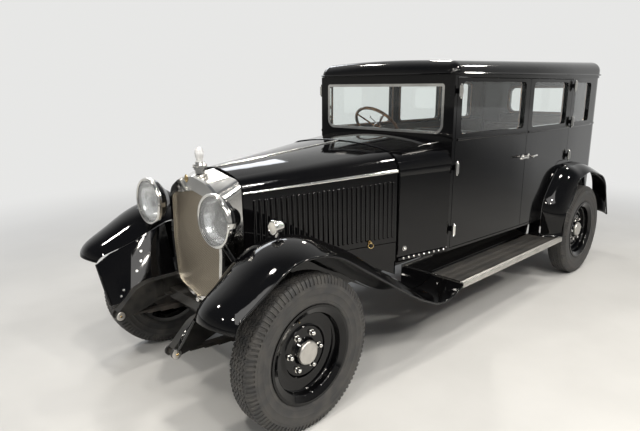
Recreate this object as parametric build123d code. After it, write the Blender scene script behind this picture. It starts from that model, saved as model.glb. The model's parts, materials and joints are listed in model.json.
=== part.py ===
from build123d import *
from math import atan2, cos, hypot, pi, radians, sin, tan
import os

os.makedirs("parts", exist_ok=True)

# A closed six-light saloon of the late 1920s, in millimetres.
# It is drawn about its front axle: +X forward, +Y to the car's left, +Z up, ground at Z 0.
# Each piece is then moved forward, so that the origin is on the ground under the middle of the car.

# Overall sizes
WHEELBASE = 3660
FRONT_REACH = 583
REAR_REACH = 4511
TYRE_RADIUS = 435
TYRE_WIDTH = 176
TRACK_HALF = 745
GAP = 5
SHEET = 4
TO_MIDDLE = (REAR_REACH - FRONT_REACH) / 2

# Wheels, measured outward from the tyre's middle plane
RIM_RADIUS = 262
FLANGE_RADIUS = 276
FLANGE_OUT = 78
DRUM_RADIUS = 188
SPINDLE_RADIUS = 22
SHAFT_FIT = 0.05
STUD_CIRCLE = 106

# Steering
KINGPIN_Y = 640
KINGPIN_RADIUS = 15
EYE_RADIUS = 30
ARM_LENGTH = 165
ARM_END_Y = KINGPIN_Y
TIE_ROD_Z = 352
COLUMN_ANGLE = 40
STEERING_WHEEL_RADIUS = 215
STEERING_WHEEL_AT = (-1900, -350, 1478)

# Chassis
RAIL_IN = 300
RAIL_OUT = 355
RAIL_LOW = 510
RAIL_TOP = 640
KICK_UP = 85
SPRING_Y = 328
REAR_SPRING_Y = 420
AXLE_Z = TYRE_RADIUS
HORN_EYE = (542, 470)

# Radiator
RADIATOR_FRONT = 176
RADIATOR_REAR = 28
RADIATOR_HALF = 284

# Hood, from the radiator to the cowl
HOOD_FRONT = 14
HOOD_REAR = -1030
HINGE_FRONT_Z = 1354
HINGE_REAR_Z = 1438
TRIM_FRONT = (268, 1228)
TRIM_REAR = (552, 1277)
HOOD_LOW = 795

# Body
COWL_FRONT = -1040
BODY_FRONT = -1512
BODY_REAR = -4290
BODY_LOW = 642
ROOF_BASE = 1896
WALL = 42
BELT_Z = 1455
BELT_HALF = 8
BELT_PROUD = 5
DOOR_IN = 612
DOOR_LOW = 664
DOOR_TOP = 1876
DOOR_FRONT = -1548
DOOR_MIDDLE = -2550
DOOR_BACK = -3398
WINDOW_LOW = 1490
WINDOW_TOP = 1850

# Hinge axes of the doors
FRONT_HINGE = (-1540, 684)
REAR_HINGE = (-3403, 726)

# Fenders and running boards
BOARD_TOP = 478
BOARD_LOW = 440
BOARD_IN = 584
BOARD_OUT = 862
BOARD_FRONT = -1407
BOARD_REAR = -3080
FENDER_OUT = 870


def round_corner(before, corner, after, radius):
    """Start, middle and end of the arc that rounds one corner of an outline."""
    to_before = (before[0] - corner[0], before[1] - corner[1])
    to_after = (after[0] - corner[0], after[1] - corner[1])
    angle_before = atan2(to_before[1], to_before[0])
    angle_after = atan2(to_after[1], to_after[0])
    half = abs((angle_after - angle_before + pi) % (2 * pi) - pi) / 2
    reach = radius / tan(half)
    start = (corner[0] + reach * cos(angle_before), corner[1] + reach * sin(angle_before))
    end = (corner[0] + reach * cos(angle_after), corner[1] + reach * sin(angle_after))
    centre_way = ((start[0] + end[0]) / 2 - corner[0], (start[1] + end[1]) / 2 - corner[1])
    way = hypot(*centre_way)
    deep = radius / sin(half) - radius
    middle = (corner[0] + centre_way[0] / way * deep, corner[1] + centre_way[1] / way * deep)
    return start, middle, end


def rounded_edges(corners, closed):
    """Lines and tangent arcs through corners, each (u, v) or (u, v, radius)."""
    count = len(corners)
    edges = []
    pieces = []
    for i, corner in enumerate(corners):
        inside = closed or 0 < i < count - 1
        if inside and len(corner) == 3:
            pieces.append(round_corner(corners[i - 1], corner, corners[(i + 1) % count], corner[2]))
        else:
            pieces.append((corner[:2], None, corner[:2]))
    last = count if closed else count - 1
    for i, (start, middle, end) in enumerate(pieces):
        if middle:
            edges.append(ThreePointArc(start, middle, end))
        if i < last:
            following = pieces[(i + 1) % count][0]
            if hypot(following[0] - end[0], following[1] - end[1]) > 0.001:
                edges.append(Line(end, following))
    return edges


def lowered(corners, distance):
    """A path of rounded corners, moved to its left by a distance, with the arcs kept concentric."""
    moved = []
    count = len(corners)
    for i, corner in enumerate(corners):
        ways = []
        for a, b in ((i - 1, i), (i, i + 1)):
            if a >= 0 and b < count:
                along = (corners[b][0] - corners[a][0], corners[b][1] - corners[a][1])
                ways.append((along[0] / hypot(*along), along[1] / hypot(*along)))
        first, last = ways[0], ways[-1]
        share = distance / (1 + first[0] * last[0] + first[1] * last[1])
        x = corner[0] - (first[1] + last[1]) * share
        z = corner[1] + (first[0] + last[0]) * share
        if len(corner) == 3:
            turn = first[0] * last[1] - first[1] * last[0]
            moved.append((x, z, corner[2] - distance if turn > 0 else corner[2] + distance))
        else:
            moved.append((x, z))
    return moved


def outline(corners):
    """A flat face with straight sides and rounded corners."""
    return make_face(rounded_edges(corners, True))


def side_plate(corners, y_low, y_high):
    """An outline drawn from the side, (X, Z), with its thickness along Y."""
    plane = Plane(origin=(0, y_high, 0), x_dir=(1, 0, 0), z_dir=(0, -1, 0))
    return extrude(plane * outline(corners), amount=y_high - y_low, dir=(0, -1, 0))


def cross_plate(corners, x_low, x_high):
    """An outline drawn from the front, (Y, Z), with its thickness along X."""
    plane = Plane(origin=(x_low, 0, 0), x_dir=(0, 1, 0), z_dir=(1, 0, 0))
    return extrude(plane * outline(corners), amount=x_high - x_low, dir=(1, 0, 0))


def plan_plate(corners, z_low, z_high):
    """An outline drawn from above, (X, Y), with its thickness along Z."""
    plane = Plane(origin=(0, 0, z_low))
    return extrude(plane * outline(corners), amount=z_high - z_low, dir=(0, 0, 1))


def block(x, y, z):
    """A box between two values along each axis."""
    size = (abs(x[1] - x[0]), abs(y[1] - y[0]), abs(z[1] - z[0]))
    return Pos(sum(x) / 2, sum(y) / 2, sum(z) / 2) * Box(*size)


def rod(start, end, radius):
    """A round bar from one point to another."""
    way = Vector(*end) - Vector(*start)
    return Solid.make_cylinder(radius, way.length, Plane(origin=start, z_dir=way))


def mirrored(shape):
    """The same piece on the other side of the car."""
    return mirror(shape, about=Plane.XZ)


def turned(profile, x, y, z, outward=1):
    """A wheel-like piece turned about a line along Y, its profile as (radius, out)."""
    face = make_face(Plane.XZ * Wire(rounded_edges(profile, True)))
    ring = revolve(face, axis=Axis.Z)
    return Pos(x, y, z) * Rot(-90 * outward, 0, 0) * ring


def turned_forward(profile, x, y, z):
    """A lamp-like piece turned about a line along X, its profile as (radius, forward)."""
    face = make_face(Plane.XZ * Wire(rounded_edges(profile, True)))
    ring = revolve(face, axis=Axis.Z)
    return Pos(x, y, z) * Rot(0, 90, 0) * ring


def save(node, shape):
    """Write one sub-part, moved to the car's own frame."""
    placed = Pos(TO_MIDDLE, 0, 0) * shape
    placed.label = node
    export_step(placed, "parts/" + node + ".step")


# Wheels

TYRE_PROFILE = (
    (RIM_RADIUS, -62),
    (RIM_RADIUS + 22, -70, 10),
    (350, -TYRE_WIDTH / 2, 60),
    (422, -72, 22),
    (TYRE_RADIUS, -30),
    (TYRE_RADIUS, 30),
    (422, 72, 22),
    (350, TYRE_WIDTH / 2, 60),
    (RIM_RADIUS + 22, 70, 10),
    (RIM_RADIUS, 62),
)

WHEEL_PROFILE = (
    (SPINDLE_RADIUS + SHAFT_FIT, -30),
    (150, -30),
    (226, -8, 20),
    (226, -62),
    (FLANGE_RADIUS - 22, -74),
    (FLANGE_RADIUS, -FLANGE_OUT),
    (FLANGE_RADIUS, -70.3),
    (RIM_RADIUS - 0.3, -62.3),
    (RIM_RADIUS - 0.3, -52),
    (240, -40, 12),
    (240, 40, 12),
    (RIM_RADIUS - 0.3, 52),
    (RIM_RADIUS - 0.3, 62.3),
    (FLANGE_RADIUS, 70.3),
    (FLANGE_RADIUS, FLANGE_OUT),
    (FLANGE_RADIUS - 14, FLANGE_OUT),
    (226, 60, 10),
    (226, 16, 14),
    (150, 2, 30),
    (140, 12, 6),
    (80, 12, 6),
    (66, 34, 6),
    (SPINDLE_RADIUS + SHAFT_FIT, 34),
)

DRUM_PROFILE = (
    (120, -30.2),
    (120, -36),
    (DRUM_RADIUS - 8, -36),
    (DRUM_RADIUS - 8, -64),
    (DRUM_RADIUS, -64),
    (DRUM_RADIUS, -30.2),
)

HUB_CAP_PROFILE = (
    (0, 34.2),
    (60, 34.2),
    (60, 38),
    (46, 48, 8),
    (0, 52),
)


def tyre(x, y, z, outward):
    return turned(TYRE_PROFILE, x, y, z, outward)


def wheel(x, y, z, outward):
    """The pressed disc wheel with its six nuts, brake drum and hub cap."""
    disc = turned(WHEEL_PROFILE, x, y, z, outward)
    for i in range(6):
        angle = radians(60 * i)
        nut_x = x + STUD_CIRCLE * cos(angle)
        nut_z = z + STUD_CIRCLE * sin(angle)
        disc += rod((nut_x, y + 10 * outward, nut_z), (nut_x, y + 30 * outward, nut_z), 13)
    return disc


def brake_drum(x, y, z, outward):
    return turned(DRUM_PROFILE, x, y, z, outward)


def hub_cap(x, y, z, outward):
    return turned(HUB_CAP_PROFILE, x, y, z, outward)


# Front axle and steering

def front_axle():
    """The dropped beam with an eye for each kingpin and a pad under each spring."""
    beam = cross_plate(
        (
            (-KINGPIN_Y, 400), (-575, 400, 40), (-500, 335, 60), (500, 335, 60), (575, 400, 40),
            (KINGPIN_Y, 400), (KINGPIN_Y, 470), (560, 470, 60), (480, 400, 60),
            (-480, 400, 60), (-560, 470, 60), (-KINGPIN_Y, 470),
        ),
        -26,
        26,
    )
    for side in (-1, 1):
        eye_y = KINGPIN_Y * side
        beam += rod((0, eye_y, 398), (0, eye_y, 472), EYE_RADIUS)
        beam += block((-60, 60), (SPRING_Y * side - 32, SPRING_Y * side + 32), (380, 400))
    for side in (-1, 1):
        eye_y = KINGPIN_Y * side
        beam -= rod((0, eye_y, 380), (0, eye_y, 490), KINGPIN_RADIUS + SHAFT_FIT)
    web = cross_plate(((-560, 415), (-480, 348), (480, 348), (560, 415), (470, 387), (-470, 387)), -30, 30)
    return beam - (web - block((-9, 9), (-600, 600), (300, 500)))


def knuckle(side):
    """The forked steering knuckle with its pin, spindle, back plate and steering arm."""
    y = KINGPIN_Y * side
    wheel_y = TRACK_HALF * side
    plate_in = y + 38 * side
    body = rod((0, y, 366), (0, y, 504), KINGPIN_RADIUS)
    for low, high in ((366, 396), (474, 504)):
        body += rod((0, y, low), (0, y, high), 27)
        body += block((-24, 24), (y, plate_in + 6 * side), (low, high))
    body += block((-24, 24), (plate_in, plate_in + 6 * side), (366, 504))
    body += rod((0, plate_in, AXLE_Z), (0, wheel_y + 30 * side, AXLE_Z), SPINDLE_RADIUS)
    body += rod((0, plate_in, AXLE_Z), (0, plate_in + 4 * side, AXLE_Z), 172)
    arm_end = (-ARM_LENGTH, ARM_END_Y * side)
    body += plan_plate(
        ((-12, y - 14), (12, y + 14), (arm_end[0] + 4, arm_end[1] + 14), (arm_end[0] - 4, arm_end[1] - 14)),
        366,
        382,
    )
    body += rod((arm_end[0], arm_end[1], 366), (arm_end[0], arm_end[1], 382), 18)
    pin = rod((arm_end[0], arm_end[1], 340), (arm_end[0], arm_end[1], 382), 8)
    return body + pin


def tie_rod():
    """The cross rod, with an eye round the pin of each steering arm."""
    low, high = TIE_ROD_Z - 10, TIE_ROD_Z + 10
    bar = rod((-ARM_LENGTH, -ARM_END_Y, TIE_ROD_Z), (-ARM_LENGTH, ARM_END_Y, TIE_ROD_Z), 9)
    for side, hole in ((1, 8 + SHAFT_FIT), (-1, 10)):
        y = ARM_END_Y * side
        bar += rod((-ARM_LENGTH, y, low), (-ARM_LENGTH, y, high), 18)
        bar -= rod((-ARM_LENGTH, y, low - 1), (-ARM_LENGTH, y, high + 1), hole)
    return bar


def column_point(along):
    """A point on the steering column's line, measured down from the wheel's hub."""
    x, y, z = STEERING_WHEEL_AT
    lean = radians(COLUMN_ANGLE)
    return (x + along * cos(lean), y, z - along * sin(lean))


def steering_wheel():
    """Rim, four spokes and boss, square to the column."""
    lean = radians(COLUMN_ANGLE)
    plane = Plane(origin=STEERING_WHEEL_AT, x_dir=(0, 1, 0), z_dir=(-cos(lean), 0, sin(lean)))
    rim = plane * Torus(STEERING_WHEEL_RADIUS, 13)
    boss = plane * Pos(0, 0, -16) * Cylinder(34, 40)
    wheel_shape = rim + boss
    for i in range(4):
        spoke = Solid.make_cylinder(7, STEERING_WHEEL_RADIUS, Plane.YZ)
        wheel_shape += plane * Rot(0, 0, 45 + 90 * i) * Pos(0, 0, -8) * spoke
    return wheel_shape


def steering_column():
    """The fixed column tube down to the steering box on the frame."""
    tube = rod(column_point(44), column_point(1180), 24)
    box_at = column_point(1200)
    return tube + block((box_at[0] - 45, box_at[0] + 85), (-384, -306), (RAIL_TOP + 0.5, 740))


# Chassis

RAIL_OUTLINE = (
    (HORN_EYE[0] + 8, HORN_EYE[1] + 26),
    (430, 610, 120),
    (330, RAIL_TOP, 200),
    (-3180, RAIL_TOP, 200),
    (-3380, RAIL_TOP + KICK_UP, 200),
    (-3960, RAIL_TOP + KICK_UP, 200),
    (-4120, RAIL_TOP, 150),
    (-4300, RAIL_TOP),
    (-4300, RAIL_LOW + 40),
    (-4100, RAIL_LOW + 20, 150),
    (-3940, RAIL_LOW + KICK_UP, 150),
    (-3420, RAIL_LOW + KICK_UP, 200),
    (-3220, RAIL_LOW, 200),
    (260, RAIL_LOW, 300),
    (420, 462, 150),
    (HORN_EYE[0], HORN_EYE[1] - 26),
)

# Cross members: X of the front face, X of the rear face, low Z, top Z
CROSS_MEMBERS = (
    (180, 60, 478, 545),
    (-1560, -1640, 525, 625),
    (-2560, -2640, 525, 625),
    (-3500, -3560, 610, 710),
    (-4040, -4100, 600, 640),
)

# Space inside the front horn, where the spring lies
HORN_SLOT = (
    (620, 400), (620, 470), (552, 484), (424, 592, 100), (324, 627, 180), (220, 627), (220, 400),
)


def chassis_frame():
    """Two pressed channel rails with front horns, joined by cross members."""
    rail = side_plate(RAIL_OUTLINE, RAIL_IN, RAIL_OUT)
    pocket = block((-4400, 300), (RAIL_IN - 10, RAIL_OUT - 7), (RAIL_LOW + 7, RAIL_TOP - 7))
    pocket -= block((-4120, -3180), (RAIL_IN - 20, RAIL_OUT), (400, 800))
    rail -= pocket
    rail -= side_plate(HORN_SLOT, SPRING_Y - 23, SPRING_Y + 23)
    eye_x, eye_z = HORN_EYE
    rail += rod((eye_x, RAIL_IN - 6, eye_z), (eye_x, SPRING_Y - 23, eye_z), 28)
    rail += rod((eye_x, SPRING_Y + 23, eye_z), (eye_x, RAIL_OUT + 14, eye_z), 28)
    frame = rail + mirrored(rail)
    for front, rear, low, top in CROSS_MEMBERS:
        frame += block((front, rear), (-RAIL_OUT + 7, RAIL_OUT - 7), (low, top))
    return frame - block((-3400, -1500), (-60, 60), (400, 590))


def leaf(x_front, x_rear, z_end, z_middle, thickness, y, half_width):
    """One curved spring leaf."""
    middle_x = (x_front + x_rear) / 2
    upper = ThreePointArc((x_front, z_end), (middle_x, z_middle), (x_rear, z_end))
    lower = ThreePointArc(
        (x_front, z_end - thickness), (middle_x, z_middle - thickness), (x_rear, z_end - thickness)
    )
    ends = [
        Line((x_front, z_end), (x_front, z_end - thickness)),
        Line((x_rear, z_end), (x_rear, z_end - thickness)),
    ]
    face = make_face([upper, lower] + ends)
    plane = Plane(origin=(0, y + half_width, 0), x_dir=(1, 0, 0), z_dir=(0, -1, 0))
    return extrude(plane * face, amount=2 * half_width, dir=(0, -1, 0))


def leaf_spring(x_middle, half_length, z_end, z_middle, y, leaves):
    """A stack of leaves, each shorter than the one above, with rolled eyes and a clamp."""
    thickness = 7
    rise = z_end - z_middle
    stack = None
    for i in range(leaves):
        share = 1 - i / (leaves + 1)
        half = half_length * share
        middle_z = z_middle - i * thickness
        one = leaf(
            x_middle + half, x_middle - half, middle_z + rise * share * share, middle_z, thickness, y, 22
        )
        stack = one if stack is None else stack + one
    for way in (-1, 1):
        x = x_middle + way * half_length
        stack += rod((x, y - 22, z_end - 2), (x, y + 22, z_end - 2), 15)
    return stack


def front_springs():
    left = leaf_spring(0, HORN_EYE[0], HORN_EYE[1] + 2, 438, SPRING_Y, 5)
    return left + mirrored(left)


def rear_springs():
    left = leaf_spring(-WHEELBASE, 620, 560, 530, REAR_SPRING_Y, 6)
    return left + mirrored(left)


def rear_axle():
    """The banjo housing with its tubes, spring pads and fixed brake plates."""
    x = -WHEELBASE
    end_y = TRACK_HALF + 30
    housing = rod((x, -640, AXLE_Z), (x, 640, AXLE_Z), 42)
    housing += rod((x, -end_y, AXLE_Z), (x, end_y, AXLE_Z), SPINDLE_RADIUS)
    housing += Pos(x, 0, AXLE_Z) * Sphere(140)
    housing += rod((x, 0, AXLE_Z), (x + 230, 0, AXLE_Z), 60)
    for side in (-1, 1):
        housing += rod((x, 676 * side, AXLE_Z), (x, 680 * side, AXLE_Z), 172)
        housing += rod((x, 630 * side, AXLE_Z), (x, 677 * side, AXLE_Z), 50)
        y = REAR_SPRING_Y * side
        housing += block((x - 60, x + 60), (y - 30, y + 30), (AXLE_Z, 488))
    return housing


def engine_block():
    """Engine, bell housing and gearbox as one plain mass."""
    mass = block((-120, -1000), (-150, 150), (480, 1150))
    mass += rod((-990, 0, 540), (-1130, 0, 540), 95)
    return mass + block((-1110, -1520), (-90, 90), (450, 632))


def propeller_shaft():
    return rod((-1522, 0, 550), (-WHEELBASE + 232, 0, AXLE_Z + 6), 32)


def exhaust():
    """Down pipe, silencer and tail pipe along the car's right side."""
    y = -230
    system = rod((-300, y, 470), (-2100, y, 430), 25)
    system += rod((-2100, y, 430), (-2850, y, 430), 75)
    system += rod((-2850, y, 430), (-3330, y, 430), 22)
    return system


def fuel_tank():
    return side_plate(
        ((-4030, 470, 40), (-4030, 560, 10), (-4270, 560, 10), (-4270, 440, 40), (-4110, 440, 40)), -285, 285
    )


# Radiator and lamps

GUARD_TOP = 1270


def radiator_outline(inset, half=RADIATOR_HALF, top=1326, shoulder=1222, corner=95):
    """Front view of the shell: a low gable, rounded shoulders, straight sides and a pointed foot."""
    half -= inset
    top -= inset
    shoulder -= inset * 0.7
    foot = 548 + inset
    left = (
        (152, top - 30, 220),
        (half - 12, shoulder, corner),
        (half, 900, 300),
        (half - 30, 640, 90),
    )
    right = tuple((-corner_point[0],) + corner_point[1:] for corner_point in reversed(left))
    return ((0, foot, 30),) + tuple(reversed(left)) + ((0, top, 60),) + tuple(reversed(right))


def guard_outline(inset):
    """The opening that the stone guard fills, with a broad plated band above it."""
    return radiator_outline(inset, RADIATOR_HALF, GUARD_TOP, 1222, 60)


def radiator_shell():
    """The plated surround, open in front, its gable rising to the hood's rounder section behind."""
    faces = []
    for x, corners in (
        (RADIATOR_REAR, radiator_outline(0, RADIATOR_HALF, 1350, 1302, 70)),
        (RADIATOR_FRONT - 14, radiator_outline(0)),
        (RADIATOR_FRONT, radiator_outline(8)),
    ):
        plane = Plane(origin=(x, 0, 0), x_dir=(0, 1, 0), z_dir=(1, 0, 0))
        faces.append(plane * outline(corners))
    shell = loft(faces, ruled=True)
    opening = cross_plate(guard_outline(34), RADIATOR_FRONT - 40, RADIATOR_FRONT + 1)
    core = cross_plate(radiator_outline(20), RADIATOR_REAR - 1, RADIATOR_FRONT - 44)
    return shell - opening - core


def radiator_core():
    return cross_plate(radiator_outline(22), RADIATOR_REAR + 20, RADIATOR_FRONT - 46)


def radiator_grille():
    """The flat stone guard set back in the surround."""
    return cross_plate(guard_outline(34.2), RADIATOR_FRONT - 24, RADIATOR_FRONT - 16)


def radiator_cap():
    """The filler neck and cap with a plain finial."""
    cap = Pos(118, 0, 1342) * Cylinder(30, 22)
    cap += Pos(118, 0, 1360) * Cylinder(38, 16)
    cap += Pos(118, 0, 1374) * Cylinder(16, 16)
    cap += Pos(118, 0, 1410) * Cone(13, 24, 60)
    return cap - radiator_shell()


LAMP_AT = (281, 361, 1131)
LAMP_RADIUS = 147


def headlamp():
    """The left lamp: a deep bowl with a rim, on a short post from the fender's inner edge."""
    x, y, z = LAMP_AT
    bowl = turned_forward(
        ((0, -160), (44, -152, 20), (70, -112, 20), (132, -56, 40), (138, -20), (LAMP_RADIUS, -20),
         (LAMP_RADIUS, -4, 3), (LAMP_RADIUS - 12, 0), (LAMP_RADIUS - 12, -12), (120, -50, 30), (0, -120)),
        x, y, z,
    )
    post = rod((x - 50, y, z - 128), (x - 50, y + 106, 928), 14) - front_fender()
    return bowl + post.solids().sort_by(SortBy.VOLUME)[-1]


def headlamp_lens(side):
    x, y, z = LAMP_AT
    return turned_forward(
        ((0, -11.8), (LAMP_RADIUS - 12.3, -11.8), (LAMP_RADIUS - 12.3, -5), (60, 0, 200), (0, 1)),
        x, y * side, z,
    )


SIDE_LAMP_AT = (112, 650, 1121)
SIDE_LAMP_FOOT = 1065


def side_lamp(side):
    """A small lamp on the crown of the front fender."""
    x, y, z = SIDE_LAMP_AT[0], SIDE_LAMP_AT[1] * side, SIDE_LAMP_AT[2]
    bowl = turned_forward(((0, -70), (26, -62, 20), (36, -10), (36, 0), (0, 4)), x, y, z)
    return bowl + rod((x - 26, y, z - 20), (x - 26, y, SIDE_LAMP_FOOT), 9)


# Fenders, boards and aprons

# Crown of the front fender, seen from the side: X, Z, corner radius
FRONT_CROWN = (
    (FRONT_REACH, 752),
    (558, 830, 150),
    (180, 1061, 400),
    (-120, 1061, 600),
    (-1195, 396, 300),
    (BOARD_FRONT + 5, BOARD_TOP - 4),
)

# Sections of the front fender: share of the crown's length, then (Y, drop) at the inner edge, middle, outer edge
FRONT_SECTIONS = (
    (0.00, (585, 40), (700, 0), (FENDER_OUT, 66)),
    (0.06, (545, 68), (695, 0), (FENDER_OUT, 68)),
    (0.12, (500, 88), (690, 0), (FENDER_OUT, 68)),
    (0.18, (465, 95), (690, 0), (FENDER_OUT, 68)),
    (0.24, (455, 95), (690, 0), (FENDER_OUT, 68)),
    (0.34, (455, 95), (690, 0), (FENDER_OUT, 68)),
    (0.46, (455, 95), (690, 0), (FENDER_OUT, 68)),
    (0.58, (455, 95), (690, 0), (FENDER_OUT, 68)),
    (0.68, (455, 95), (690, 0), (FENDER_OUT, 68)),
    (0.77, (455, 88), (690, 0), (FENDER_OUT, 62)),
    (0.85, (455, 58), (690, 0), (FENDER_OUT, 40)),
    (0.93, (455, 20), (690, 0), (FENDER_OUT, 14)),
    (1.00, (455, 4), (690, 0), (FENDER_OUT, 4)),
)

# Crown of the rear fender, along the body's side
REAR_CROWN = (
    (-2965, 487),
    (-2965, 800, 260),
    (-3230, 1106, 260),
    (-3600, 1112, 500),
    (-4080, 980, 320),
    (-4275, 540),
)

# Sections of the rear fender, which sweeps back strongly in front of the wheel
REAR_SECTIONS = (
    (0.00, (708, 0), (800, 34), (FENDER_OUT, 122)),
    (0.08, (708, 0), (800, 36), (FENDER_OUT, 130)),
    (0.17, (708, 0), (800, 50), (FENDER_OUT, 178)),
    (0.26, (708, 0), (800, 54), (FENDER_OUT, 190)),
    (0.35, (708, 0), (800, 44), (FENDER_OUT, 155)),
    (0.44, (708, 0), (800, 30), (FENDER_OUT, 105)),
    (0.53, (708, 0), (800, 22), (FENDER_OUT, 76)),
    (0.64, (708, 0), (800, 19), (FENDER_OUT, 66)),
    (0.76, (708, 0), (800, 19), (FENDER_OUT, 66)),
    (0.88, (708, 0), (800, 19), (FENDER_OUT, 66)),
    (1.00, (708, 0), (800, 19), (FENDER_OUT, 66)),
)


def side_path(corners):
    """A path of rounded corners, seen from the side."""
    return Plane(origin=(0, 0, 0), x_dir=(1, 0, 0), z_dir=(0, -1, 0)) * Wire(rounded_edges(corners, False))


def section_points(path, section):
    """The inner, middle and outer points of one section of a fender."""
    share, inner, middle, outer = section
    at = path @ share
    along = path % share
    away = Vector(-along.Z, 0, along.X)
    return [at + Vector(0, y, 0) + away * drop for y, drop in (inner, middle, outer)]


def fender(crown, sections):
    """A thin wing carried along its crown, its section changing as the table says."""
    path = side_path(crown)
    arcs = [Wire([ThreePointArc(*section_points(path, section))]) for section in sections]
    upper_surface = Shell.make_loft(arcs, False).faces()[0]
    return thicken(upper_surface, -SHEET)


# Upright skirt under the front fender's inner edge, before its top is cut to the fender: X, Z
VALANCE_REAR = 130
FRONT_SKIRT = ((VALANCE_REAR, 700), (VALANCE_REAR, 1000), (-940, 1000), (-940, 440), (-440, 700, 60))
FENDER_IN = 455
FENDER_IN_DROP = 95

# Lower edge of the valance in front of the skirt, below the first sections of the fender
VALANCE_FOOT = ((548, 410, 505), (505, 356.5, 531), (440, 355.5, 588), (300, 355.5, 630), (VALANCE_REAR, 355.5, 632))


def front_fender():
    """The long sweeping front wing, which flattens out into the running board."""
    return fender(FRONT_CROWN, FRONT_SECTIONS)


def fender_skirt():
    """The sheets below the fender's inner edge: upright, with a shelf to the frame, and the valance in front."""
    above = lowered(FRONT_CROWN, FENDER_IN_DROP + SHEET + 2)
    above += [(above[-1][0], 1500), (above[0][0] + 100, 1500), (above[0][0] + 100, above[0][1])]
    skirt = side_plate(FRONT_SKIRT, FENDER_IN, FENDER_IN + SHEET)
    skirt -= side_plate(above, FENDER_IN - 1, FENDER_IN + SHEET + 1)
    shelf_end = ((RAIL_OUT + 0.5, 642), (RAIL_OUT + 0.5, 646), (FENDER_IN, 706), (FENDER_IN, 702))
    shelf = cross_plate(shelf_end, -440, VALANCE_REAR)
    closing = cross_plate(
        ((RAIL_OUT + 0.5, 646), (FENDER_IN + 0.1, 930), (FENDER_IN + 0.1, 705)), VALANCE_REAR - SHEET, VALANCE_REAR
    )
    return skirt + shelf + closing + front_valance()


def front_valance():
    """The sheet from the fender's inner edge down to the frame's horn."""
    path = side_path(FRONT_CROWN)
    faces = []
    for section, foot in zip(FRONT_SECTIONS, VALANCE_FOOT):
        low = Vector(*foot)
        top = section_points(path, section)[0] - Vector(0, 0, SHEET + 3)
        across = (top - low).cross(Vector(1, 0, 0)).normalized() * SHEET
        faces.append(make_face(Polyline(low, top, top + across, low + across, close=True)))
    return loft(faces, ruled=True)


def rear_fender():
    """The rear wing, from the running board over the wheel to the tail."""
    return fender(REAR_CROWN, REAR_SECTIONS)


def running_board():
    return block((BOARD_FRONT, BOARD_REAR), (BOARD_IN, BOARD_OUT), (BOARD_LOW, BOARD_TOP))


def splash_apron():
    """The sheet that closes the space between the board and the body's sill, and the one behind the board."""
    beside_board = cross_plate(
        ((BOARD_IN - 10, BOARD_LOW), (BOARD_IN - 6, BOARD_LOW), (606, BODY_LOW - 2), (602, BODY_LOW - 2)),
        -2960, BOARD_FRONT,
    )
    below = lowered(FRONT_CROWN, -3)
    below += [(below[-1][0] - 30, below[-1][1]), (below[-1][0] - 30, 200), (below[0][0], 200)]
    over_fender = block((BOARD_FRONT, COWL_FRONT), (602, 606), (380, BODY_LOW - 2))
    over_fender -= side_plate(below, 590, 620)
    behind_board = block((-2957, -2961), (606, 704), (BOARD_TOP + 0.5, BODY_LOW - 2))
    return beside_board + over_fender + behind_board


def engine_apron():
    """The sheet that carries on below the hood's side, down to the fender and the frame."""
    away = (TRIM_REAR[0] - TRIM_FRONT[0]) / (HOOD_FRONT - HOOD_REAR)
    upright = Plane(
        origin=(HOOD_FRONT, TRIM_FRONT[0] + 1, 0),
        x_dir=Vector(-1, away, 0).normalized(),
        z_dir=Vector(away, 1, 0).normalized(),
    )
    length = hypot(HOOD_FRONT - HOOD_REAR, TRIM_REAR[0] - TRIM_FRONT[0])
    top = HOOD_LOW - GAP
    face = upright * outline(((50, 650), (320, 650), (470, 712), (640, 762), (length, 560), (length, top), (50, top)))
    return extrude(face, amount=SHEET, dir=(away, 1, 0))


# Hood

def hood_section(front, outer):
    """Half of the hood's top seen from the front: outer edge from the hinge to the trim line."""
    if front:
        crown, trim = HINGE_FRONT_Z, TRIM_FRONT
        shoulder = (196, 1316)
        near_hinge = (100, 1344)
        near_trim = (250, 1281)
    else:
        crown, trim = HINGE_REAR_Z, TRIM_REAR
        shoulder = (440, 1400)
        near_hinge = (220, 1431)
        near_trim = (525, 1345)
    inset = 0 if outer else SHEET
    hinge_y = 8
    points = [
        (hinge_y, crown - inset),
        (near_hinge[0], near_hinge[1] - inset),
        (shoulder[0] - inset * 0.4, shoulder[1] - inset),
        (near_trim[0] - inset, near_trim[1] - inset * 0.4),
        (trim[0] - inset, trim[1] + 8),
    ]
    return points


def hood_face(front):
    """The thin face across one half of the hood's top."""
    x = HOOD_FRONT if front else HOOD_REAR
    outer = hood_section(front, True)
    inner = hood_section(front, False)
    edges = [
        ThreePointArc(outer[0], outer[1], outer[2]),
        ThreePointArc(outer[2], outer[3], outer[4]),
        Line(outer[4], inner[4]),
        ThreePointArc(inner[4], inner[3], inner[2]),
        ThreePointArc(inner[2], inner[1], inner[0]),
        Line(inner[0], outer[0]),
    ]
    plane = Plane(origin=(x, 0, 0), x_dir=(0, 1, 0), z_dir=(1, 0, 0))
    return plane * make_face(edges)


def hood_top():
    """The left top panel."""
    return loft([hood_face(True), hood_face(False)], ruled=True)


# Louvres of each side panel: how many, X of the first and of the last, radius, how far they stand out
LOUVRE_COUNT = 29
LOUVRE_FIRST = -52
LOUVRE_LAST = -1000
LOUVRE_RADIUS = 11
LOUVRE_PROUD = 8
LOUVRE_LOW = (838, 838)
LOUVRE_TOP = (1176, 1202)
BEAD_RADIUS = 7


def along_hood(front, rear, x):
    """A value at X, between the hood's front and rear."""
    share = (HOOD_FRONT - x) / (HOOD_FRONT - HOOD_REAR)
    return front + (rear - front) * share


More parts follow.
